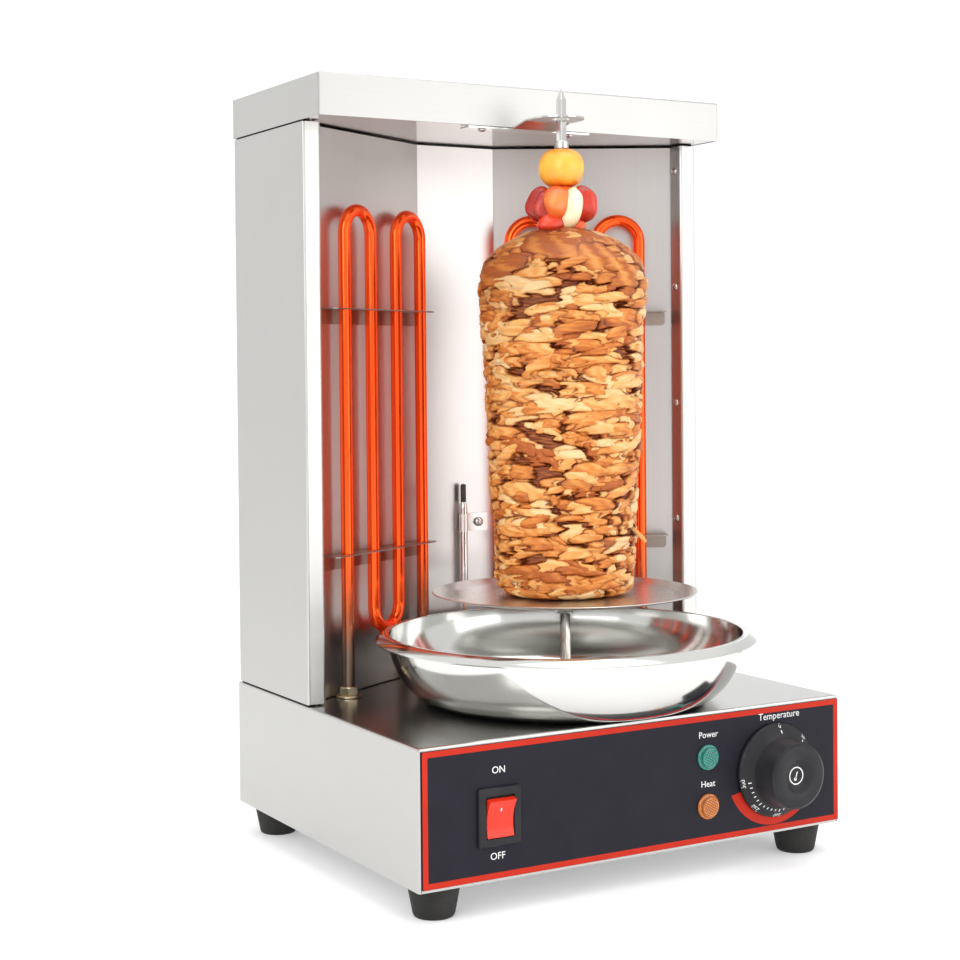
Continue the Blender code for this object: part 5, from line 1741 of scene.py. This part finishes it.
def switch_frame(black):
    """Framed housing with a window for the rocker."""
    low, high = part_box("switch_housing")
    proud, step, chamfer = 0.0026, 0.0008, 0.0007
    rim = FACE_Y - proud
    outer = rounded_outline((low.x, low.z), (high.x, high.z), 0.0012, 5)
    front = rounded_outline(
        (low.x + chamfer, low.z + chamfer), (high.x - chamfer, high.z - chamfer), 0.0009, 5,
    )
    mouth, throat = (
        rounded_outline((SWITCH.x - wide, SWITCH.z - tall), (SWITCH.x + wide, SWITCH.z + tall), radius, 5)
        for wide, tall, radius in ((0.0103, 0.0133, 0.0008), (0.0100, 0.0130, 0.0006))
    )
    bm = bmesh.new()
    loops = []
    for outline, y in (
        (outer, FACE_Y - 0.0003), (outer, rim + step), (front, rim), (mouth, rim), (throat, rim + step),
        (throat, FRONT_Y + 0.0138),
    ):
        loops.append([bm.verts.new((u, y, v)) for u, v in outline])
    bridged(bm, loops)
    bm.faces.new(loops[-1])
    bm.faces.new(loops[0])
    finished("switch_frame", bm, black, "housing", ["switch_housing"], 30.0)


def rocker_paddle(white):
    """Concave paddle, shown with its lower half pressed in."""
    red = moulded("rocker_red", (0.80, 0.030, 0.010), 0.26, 500.0, 0.04, coat=0.4, wear=0.10)
    low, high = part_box("switch_rocker")
    tilt, reach, half = math.radians(9), 0.0121, (high.x - low.x) / 2
    proud, hollow = 0.0036, 0.0030
    face = []
    for step in range(17):
        up = 0.97 * (1 - 2 * step / 16)
        face.append((-proud - hollow * up ** 2, up * reach))
    back = [(-0.0020, -reach), (0.0036, -0.0040), (0.0036, 0.0040), (-0.0020, reach)]
    bm = extruded(face + back, -half, half, "x")
    edges = [e for e in bm.edges if e.calc_face_angle(0) > math.radians(40)]
    bmesh.ops.bevel(bm, geom=edges, offset=0.00035, segments=2, affect="EDGES")
    pivot = Matrix.Translation((middle("switch_rocker").x, FRONT_Y + 0.0008, SWITCH.z))
    place = pivot @ Matrix.Rotation(tilt, 4, "X")
    finished("rocker_paddle", moved(bm, place), red, "rocker", ["switch_rocker"], 35.0)
    on = extruded(rounded_outline((-0.00045, -0.0018), (0.00045, 0.0018), 0.0003, 4), -INK, INK, "y")
    outer = [(x, z * 12 / 11) for x, z, _ in circle(0.0022, 32)]
    inner = [(x, z * 8 / 7) for x, z, _ in circle(0.0014, 32)]
    off = ringed(outer, inner, -INK, INK)
    # mark, height on the paddle, height as a share of the reach, lean
    for name, mark, up, share_up, lean in (("on", on, 0.0060, 0.50, 7), ("off", off, -0.0058, 0.42, -11)):
        seat = Matrix.Translation((0, -proud - hollow * share_up ** 2, up))
        moved(mark, place @ seat @ Matrix.Rotation(math.radians(lean), 4, "X"))
        printed("rocker_mark_" + name, mark, white, "rocker")


def pilot_lamps():
    """Two lamps, each with a rim and a lens with crossed grooves."""
    for name, slot, tone, deep in (
        ("power_lamp", "green_lens", (0.012, 0.23, 0.18), (0.001, 0.035, 0.030)),
        ("hot_lamp", "amber_lens", (0.52, 0.155, 0.012), (0.12, 0.020, 0.002)),
    ):
        look = tinted_lens(slot, tone, deep)
        centre, (low, high) = middle(name + "_body"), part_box(name + "_body")
        radius = (high.x - low.x) / 2
        place = facing_cook(centre.x, FACE_Y, centre.z)
        bezel = [(radius - 0.0018, 0.0003), (radius, 0.0003), (radius, 0.0012), (radius - 0.0004, 0.0018)]
        bezel += [(radius - 0.0012, 0.0020), (radius - 0.0017, 0.0017)]
        bm = moved(turned(bezel, 56, True), place)
        rim = finished(name + "_rim", bm, look, "housing", [name + "_body"], 32.0)
        store(rim, "groove_shade", [0.55] * len(rim.data.vertices))
        lamp_lens(name, look, radius - 0.0015, place)


def lamp_lens(name, look, radius, place):
    """Shallow dome cut by two sets of slanting grooves."""
    rings, pitch, rise, fall, cut, skirt = 26, 0.00155, 0.0046, 0.0010, 0.00050, 0.0012
    bm = turned([(radius * ring / rings, 0.0) for ring in range(rings + 1)] + [(radius, 0.0013)], 84)
    bm.verts.ensure_lookup_table()
    foot = bm.verts[-84:]
    bm.faces.new(foot[::-1])
    groove_shade = []
    for vert in bm.verts:
        share_out = min(1.0, vert.co.to_2d().length / radius)
        a = (vert.co.x * 0.50 + vert.co.y * 0.87) / pitch
        b = (vert.co.x * 0.87 - vert.co.y * 0.50) / pitch
        near = min(abs((a % 1.0) - 0.5), abs((b % 1.0) - 0.5)) * 2
        surface = rise - fall * share_out ** 2
        if vert not in foot:
            vert.co.z = surface - (skirt if share_out > 0.93 else 0.0)
            vert.co.z -= cut * (1 - min(1.0, near * 2.2)) if share_out < 0.84 else 0.0
        sunk = max(0.0, surface - vert.co.z) / cut
        # Painted shade: the value falls in the grooves, and the lens is tinted deeper there.
        groove_shade.append(max(0.0, 1 - sunk) * 0.85 if share_out < 0.86 else 0.45)
    piece = finished(name + "_dome", moved(bm, place), look, "housing", [name + "_lens"], 60.0)
    store(piece, "groove_shade", groove_shade)


def dial_knob(black, white):
    """Dial with a scale on its skirt and a dished grip."""
    low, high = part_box("temperature_knob")
    skirt, tip, grip = (high.x - low.x) / 2, high.y - low.y, 0.0232
    place = facing_cook(DIAL.x, FACE_Y, DIAL.z)
    profile = [(0, 0.0006), (skirt - 0.0006, 0.0006), (skirt, 0.0012), (skirt, 0.0026)]
    profile += [(skirt - 0.0005, 0.0034)]
    profile += [(skirt - 0.0020, 0.0042), (grip + 0.0020, 0.0072), (grip + 0.0004, 0.0078)]
    profile += [(grip - 0.0002, 0.0088)]
    profile += [(grip - 0.0006, tip - 0.0035), (grip - 0.0013, tip - 0.0014), (grip - 0.0028, tip - 0.0003)]
    profile += [(grip - 0.0036, tip), (0.0118, tip - 0.0002), (0.0110, tip - 0.0007), (0.0095, tip - 0.0020)]
    profile += [(0.0078, tip - 0.0031), (0.0060, tip - 0.0036), (0, tip - 0.0038)]
    bm = moved(turned(profile, 128), place)
    finished("dial_knob", bm, black, "knob", ["temperature_knob"], 32.0)
    dial_scale(place, skirt, grip, white)
    face, top = tip - 0.0037, tip - 0.0037 + INK * 2
    outer, inner = ([(x, y) for x, y, _ in circle(radius, 40)] for radius in (0.0060, 0.0052))
    ring = ringed(outer, inner, face, top, "z")
    pointer = extruded(rounded_outline((-0.0004, -0.0024), (0.0004, 0.0028), 0.0003, 4), face, top)
    bulb = turned([(0, face), (0.0012, face), (0.0012, top), (0, top)], 24, at=(0, -0.0022, 0))
    bm = moved(merged(ring, pointer, bulb), place @ Matrix.Rotation(math.radians(-20), 4, "Z"))
    printed("dial_mark", bm, white, "knob")


def dial_scale(place, skirt, grip, white):
    """Ticks and numbers on the sloping skirt, clockwise from the top."""
    crest, drop, labelled = grip + 0.0020, 0.0030, (0, 50, 200, 250, 300)
    fall = drop / (skirt - 0.0020 - crest)
    slope = math.atan(fall)
    marks = {0: 87.0, 50: 43.0}
    for value in range(190, 301, 10):
        marks[value] = -92.0 - (value - 200) * 0.77
    parts = []
    for value, degrees in marks.items():
        turn = Matrix.Rotation(math.radians(degrees), 4, "Z")
        start, end = grip + 0.0023, 0.0023 if value in labelled else 0.0017
        tick = rounded_block((0, -0.00036, -INK), (end, 0.00036, INK * 2), 0.00005, 1)
        seat = Matrix.Translation((start, 0, 0.00723 - (start - crest) * fall))
        parts.append(moved(tick, turn @ seat @ Matrix.Rotation(slope, 4, "Y")))
        if value in labelled:
            number = lettering(str(value), 0.0042 if value else 0.0046, INK)
            at = grip + 0.0068
            seat = Matrix.Translation((at, 0, 0.00723 - (at - crest) * fall)) @ Matrix.Rotation(slope, 4, "Y")
            parts.append(moved(number, turn @ seat @ Matrix.Rotation(-math.pi / 2, 4, "Z")))
    printed("dial_scale", moved(merged(*parts), place), white, "knob")


class BROILER_OT_controls(bpy.types.Operator):
    """Build the printed panel, the rocker switch, the pilot lamps and the dial"""

    bl_idname = "broiler.controls"
    bl_label = "Controls"

    def execute(self, context):
        settings = context.scene.broiler_controls
        film = moulded("panel_film", settings.film, 0.50, 1500.0, 0.05, wear=0.06)
        red = moulded("border_ink", settings.border, 0.45, 1500.0, 0.03, wear=0.05)
        white = moulded("white_ink", (0.86, 0.86, 0.85), 0.50, 1500.0, 0.02, wear=0.03)
        black = moulded("black_moulding", (0.022, 0.022, 0.025), 0.34, 700.0, 0.08, wear=0.15)
        panel_film(settings, film, red, white)
        switch_frame(black)
        rocker_paddle(white)
        pilot_lamps()
        dial_knob(black, white)
        return {"FINISHED"}


class BROILER_OT_feet(bpy.types.Operator):
    """Build the tapered rubber feet"""

    bl_idname = "broiler.feet"
    bl_label = "Feet"

    def execute(self, context):
        rubber = moulded("foot_rubber", (0.026, 0.025, 0.024), 0.62, 420.0, 0.25, wear=0.18)
        for corner in ("front_left", "front_right", "rear_left", "rear_right"):
            node = "foot_" + corner
            centre, (low, high) = middle(node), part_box(node)
            top, wide = high.z, (high.x - low.x) / 2
            profile = [(0.0046, top), (wide - 0.0005, top), (wide, top - 0.0006)]
            profile += [(wide - 0.0002, top - 0.0016)]
            profile += [(wide * 0.905, top * 0.60), (wide * 0.80, 0.0034), (wide * 0.785, 0.0022)]
            profile += [(wide * 0.75, 0.0008)]
            profile += [(wide * 0.70, 0.0001), (wide * 0.64, 0), (wide * 0.58, 0.0003), (wide * 0.54, 0.0012)]
            profile += [(0.0060, 0.0016), (0.0060, 0.0120), (0.0046, 0.0120)]
            bm = turned(profile, 56, True, (centre.x, centre.y, 0))
            finished("rubber_" + node, bm, rubber, "housing", [node], 35.0)
            give_look("foot_screw_" + corner, metal("zinc_plate"))
        return {"FINISHED"}


def cord_gland():
    """Ribbed gland with a flange, where the supply cord would enter."""
    (low, high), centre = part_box("cord_gland"), middle("cord_gland")
    black = moulded("gland_moulding", (0.020, 0.020, 0.021), 0.48, 380.0, 0.14, wear=0.12)
    reach, radius, ribs = high.y - BACK_Y, (high.x - low.x) / 2, 4
    profile = [(0.0035, -0.0098), (0.0080, -0.0098), (0.0080, 0.0004), (radius - 0.0005, 0.0004)]
    profile += [(radius, 0.0010)]
    profile += [(radius, 0.0034), (radius - 0.0006, 0.0041), (0.0101, 0.0044)]
    pitch = (reach - 0.0054) / ribs
    for rib in range(ribs):
        at = 0.0046 + rib * pitch
        profile += [(0.0099, at), (0.0099, at + pitch * 0.55), (0.0090, at + pitch * 0.60)]
        profile += [(0.0090, at + pitch * 0.95)]
    profile += [(0.0088, reach - 0.0004), (0.0082, reach), (0.0040, reach), (0.0035, reach - 0.0006)]
    place = Matrix.Translation((centre.x, BACK_Y, centre.z)) @ Matrix.Rotation(-math.pi / 2, 4, "X")
    bm = moved(turned(profile, 60, True), place)
    finished("gland_body", bm, black, "housing", ["cord_gland"], 30.0)


def case_screws():
    """Round-headed screws on the back of the cap, the tower and the base, and under the base."""
    aft, down, sink = Vector((0, 1, 0)), Vector((0, 0, -1)), 0.0003
    places = []
    for x in (-0.152, 0.152):
        places += [((x, BACK_Y, BASE_BOTTOM + 0.012), aft), ((x, BACK_Y, BASE_TOP - 0.010), aft)]
        places += [((x, CAP_HIGH.y, CAP_LOW.z + 0.014), aft), ((x, TOWER_HIGH.y, TOWER_LOW.z + 0.012), aft)]
    places.append(((0.0, BACK_Y, BASE_BOTTOM + 0.012), aft))
    front, back = FRONT_Y + 0.010, BACK_Y - 0.035
    for x, y in ((-0.1227, front), (0.115, front), (-0.157, back), (0.157, back)):
        places.append(((x, y, BASE_BOTTOM + 0.0010), down))
    for number, (at, facing) in enumerate(places, 1):
        at = Vector(at) - facing * sink
        screwed(f"case_screw_{number}", 0.0033, 0.0020, at, facing, twist=0.5 * number)


class BROILER_OT_workings(bpy.types.Operator):
    """Finish the drive, thermostat and terminals, and build the cord gland and the outer screws"""

    bl_idname = "broiler.workings"
    bl_label = "Workings"

    def execute(self, context):
        motor = moulded("motor_paint", (0.16, 0.165, 0.17), 0.46, 260.0, 0.10, wear=0.15)
        ceramic = moulded("ceramic_body", (0.72, 0.70, 0.65), 0.58, 320.0, 0.10, wear=0.06)
        plated = metal("zinc_plate")
        looks = {
            "gear_motor": motor, "gearbox": plated, "motor_bracket": plated, "terminal_block": ceramic,
            "thermostat_body": ceramic, "thermostat_shaft": plated,
        }
        for node, look in looks.items():
            give_look(node, look)
        cord_gland()
        case_screws()
        return {"FINISHED"}


def floor_paint(tone):
    """Matt pale paint that is lit evenly enough to read as white."""
    look, nodes, links = blank_material("floor_paint")
    output = nodes.new("ShaderNodeOutputMaterial")
    output.label = "Floor"
    output.location = (300, 0)
    shader = nodes.new("ShaderNodeBsdfPrincipled")
    shader.label = "Matt paint"
    shader.location = (0, 0)
    shader.inputs["Base Color"].default_value = (tone, tone, tone, 1.0)
    shader.inputs["Roughness"].default_value = 0.75
    shader.inputs["Emission Color"].default_value = (1.0, 1.0, 1.0, 1.0)
    shader.inputs["Emission Strength"].default_value = 0.22
    links.new(shader.outputs["BSDF"], output.inputs["Surface"])
    return look


def lay_floor(stage):
    """Wide pale floor with a curved rise far behind the broiler."""
    half_width, front, back, rise, top = 5.0, -3.5, 3.0, 1.2, 4.0
    profile = [(front, 0.0), (back, 0.0)]
    for degrees in range(6, 91, 6):
        angle = math.radians(degrees)
        profile.append((back + rise * math.sin(angle), rise - rise * math.cos(angle)))
    profile.append((back + rise, top))
    bm = bmesh.new()
    left, right = ([bm.verts.new((x, y, z)) for y, z in profile] for x in (-half_width, half_width))
    for index in range(len(profile) - 1):
        bm.faces.new((left[index], left[index + 1], right[index + 1], right[index]))
    bmesh.ops.recalc_face_normals(bm, faces=bm.faces)
    mesh = bpy.data.meshes.new("floor")
    bm.to_mesh(mesh)
    bm.free()
    mesh.shade_smooth()
    mesh.materials.append(floor_paint(stage.floor_tone))
    ground = bpy.data.objects.new("floor", mesh)
    bpy.context.scene.collection.objects.link(ground)


def pale_room(context, stage):
    """Pale room, a little darker low down so that the steel has something to reflect."""
    world = bpy.data.worlds.new("pale_room")
    context.scene.world = world
    world.use_nodes = True
    nodes, links = world.node_tree.nodes, world.node_tree.links
    nodes.clear()
    output = nodes.new("ShaderNodeOutputWorld")
    output.label = "Room"
    backdrop = nodes.new("ShaderNodeBackground")
    backdrop.label = "Room light"
    backdrop.inputs["Strength"].default_value = stage.sky_strength
    direction = nodes.new("ShaderNodeTexCoord")
    direction.label = "Direction in the room"
    upward = nodes.new("ShaderNodeSeparateXYZ")
    upward.label = "Height in the room"
    shade = nodes.new("ShaderNodeValToRGB")
    shade.label = "Wall to ceiling"
    first, last = shade.color_ramp.elements
    first.position, first.color = 0.42, (0.86, 0.86, 0.86, 1.0)
    last.position, last.color = 0.60, (1.0, 1.0, 1.0, 1.0)
    links.new(direction.outputs["Generated"], upward.inputs["Vector"])
    links.new(upward.outputs["Z"], shade.inputs["Fac"])
    links.new(shade.outputs["Color"], backdrop.inputs["Color"])
    links.new(backdrop.outputs["Background"], output.inputs["Surface"])
    for column, node in enumerate((direction, upward, shade, backdrop, output)):
        node.location = (column * 220 - 800, 0)


def soft_lights(context, stage):
    """Large soft lights: key on the cook's left, fill on the right, and one overhead."""
    for name, place, target, size, share in (
        ("key_light", (-1.5, -1.1, 1.1), (0, 0, 0.3), (1.2, 1.4), 1.0),
        ("fill_light", (1.0, -1.6, 0.5), (0, 0, 0.3), (1.2, 1.3), 0.60),
        ("top_light", (0.1, -0.4, 1.9), (0, 0.05, 0.3), (1.4, 1.2), 0.8),
    ):
        lamp = bpy.data.lights.new(name, "AREA")
        lamp.shape = "RECTANGLE"
        lamp.size, lamp.size_y = size
        lamp.energy = stage.key_power * share
        holder = bpy.data.objects.new(name, lamp)
        holder.location = place
        holder.rotation_euler = (Vector(target) - Vector(place)).to_track_quat("-Z", "Y").to_euler()
        context.scene.collection.objects.link(holder)


def place_camera(context, stage):
    """Camera in front and to the cook's left, level with the roast."""
    lens = bpy.data.cameras.new("camera")
    lens.lens = stage.camera_lens
    lens.sensor_width = 36.0
    lens.shift_y = stage.camera_rise
    holder = bpy.data.objects.new("camera", lens)
    holder.matrix_world = (
        Matrix.Translation(stage.camera_place) @ Matrix.Rotation(-stage.camera_turn, 4, "Z")
        @ Matrix.Rotation(math.pi / 2 - stage.camera_dip, 4, "X") @ Matrix.Rotation(stage.camera_roll, 4, "Z")
    )
    context.scene.collection.objects.link(holder)
    context.scene.camera = holder


class BROILER_OT_stage(bpy.types.Operator):
    """Lay the pale floor, set the soft lights and place the camera"""

    bl_idname = "broiler.stage"
    bl_label = "Stage"

    def execute(self, context):
        stage = context.scene.broiler_stage
        context.scene.view_settings.view_transform = "Standard"
        lay_floor(stage)
        pale_room(context, stage)
        soft_lights(context, stage)
        place_camera(context, stage)
        return {"FINISHED"}


# Panel and registration --------------------------------------------------------------------------


PIECE_OPERATORS = (
    BROILER_OT_cabinet, BROILER_OT_reflector, BROILER_OT_elements, BROILER_OT_sensor, BROILER_OT_bowl,
    BROILER_OT_spit, BROILER_OT_roast, BROILER_OT_garnish, BROILER_OT_controls, BROILER_OT_feet,
    BROILER_OT_workings, BROILER_OT_stage,
)
SETTINGS = {
    "broiler_steel": SteelSettings, "broiler_heaters": HeaterSettings, "broiler_food": FoodSettings,
    "broiler_controls": ControlSettings, "broiler_stage": StageSettings,
}


class BROILER_PT_builder(bpy.types.Panel):
    """Sizes, colours and one button for each group of pieces"""

    bl_idname = "BROILER_PT_builder"
    bl_label = "Rotisserie broiler"
    bl_space_type = "VIEW_3D"
    bl_region_type = "UI"
    bl_category = "Broiler"

    def draw(self, context):
        for attribute, group in SETTINGS.items():
            box = self.layout.box()
            box.label(text=group.__doc__)
            settings = getattr(context.scene, attribute)
            for name in group.__annotations__:
                box.prop(settings, name)
        for operator in PIECE_OPERATORS:
            self.layout.operator(operator.bl_idname)


def register():
    """Add the settings, the operators and the panel."""
    for group in SETTINGS.values():
        bpy.utils.register_class(group)
    for attribute, group in SETTINGS.items():
        setattr(bpy.types.Scene, attribute, PointerProperty(type=group))
    for operator in PIECE_OPERATORS:
        bpy.utils.register_class(operator)
    bpy.utils.register_class(BROILER_PT_builder)


def unregister():
    """Take out everything that register adds."""
    bpy.utils.unregister_class(BROILER_PT_builder)
    for operator in reversed(PIECE_OPERATORS):
        bpy.utils.unregister_class(operator)
    for attribute, group in reversed(SETTINGS.items()):
        delattr(bpy.types.Scene, attribute)
        bpy.utils.unregister_class(group)


def main():
    """Build every piece in order."""
    register()
    bpy.ops.broiler.cabinet()
    bpy.ops.broiler.reflector()
    bpy.ops.broiler.elements()
    bpy.ops.broiler.sensor()
    bpy.ops.broiler.bowl()
    bpy.ops.broiler.spit()
    bpy.ops.broiler.roast()
    bpy.ops.broiler.garnish()
    bpy.ops.broiler.controls()
    bpy.ops.broiler.feet()
    bpy.ops.broiler.workings()
    bpy.ops.broiler.stage()


if __name__ == "__main__":
    main()
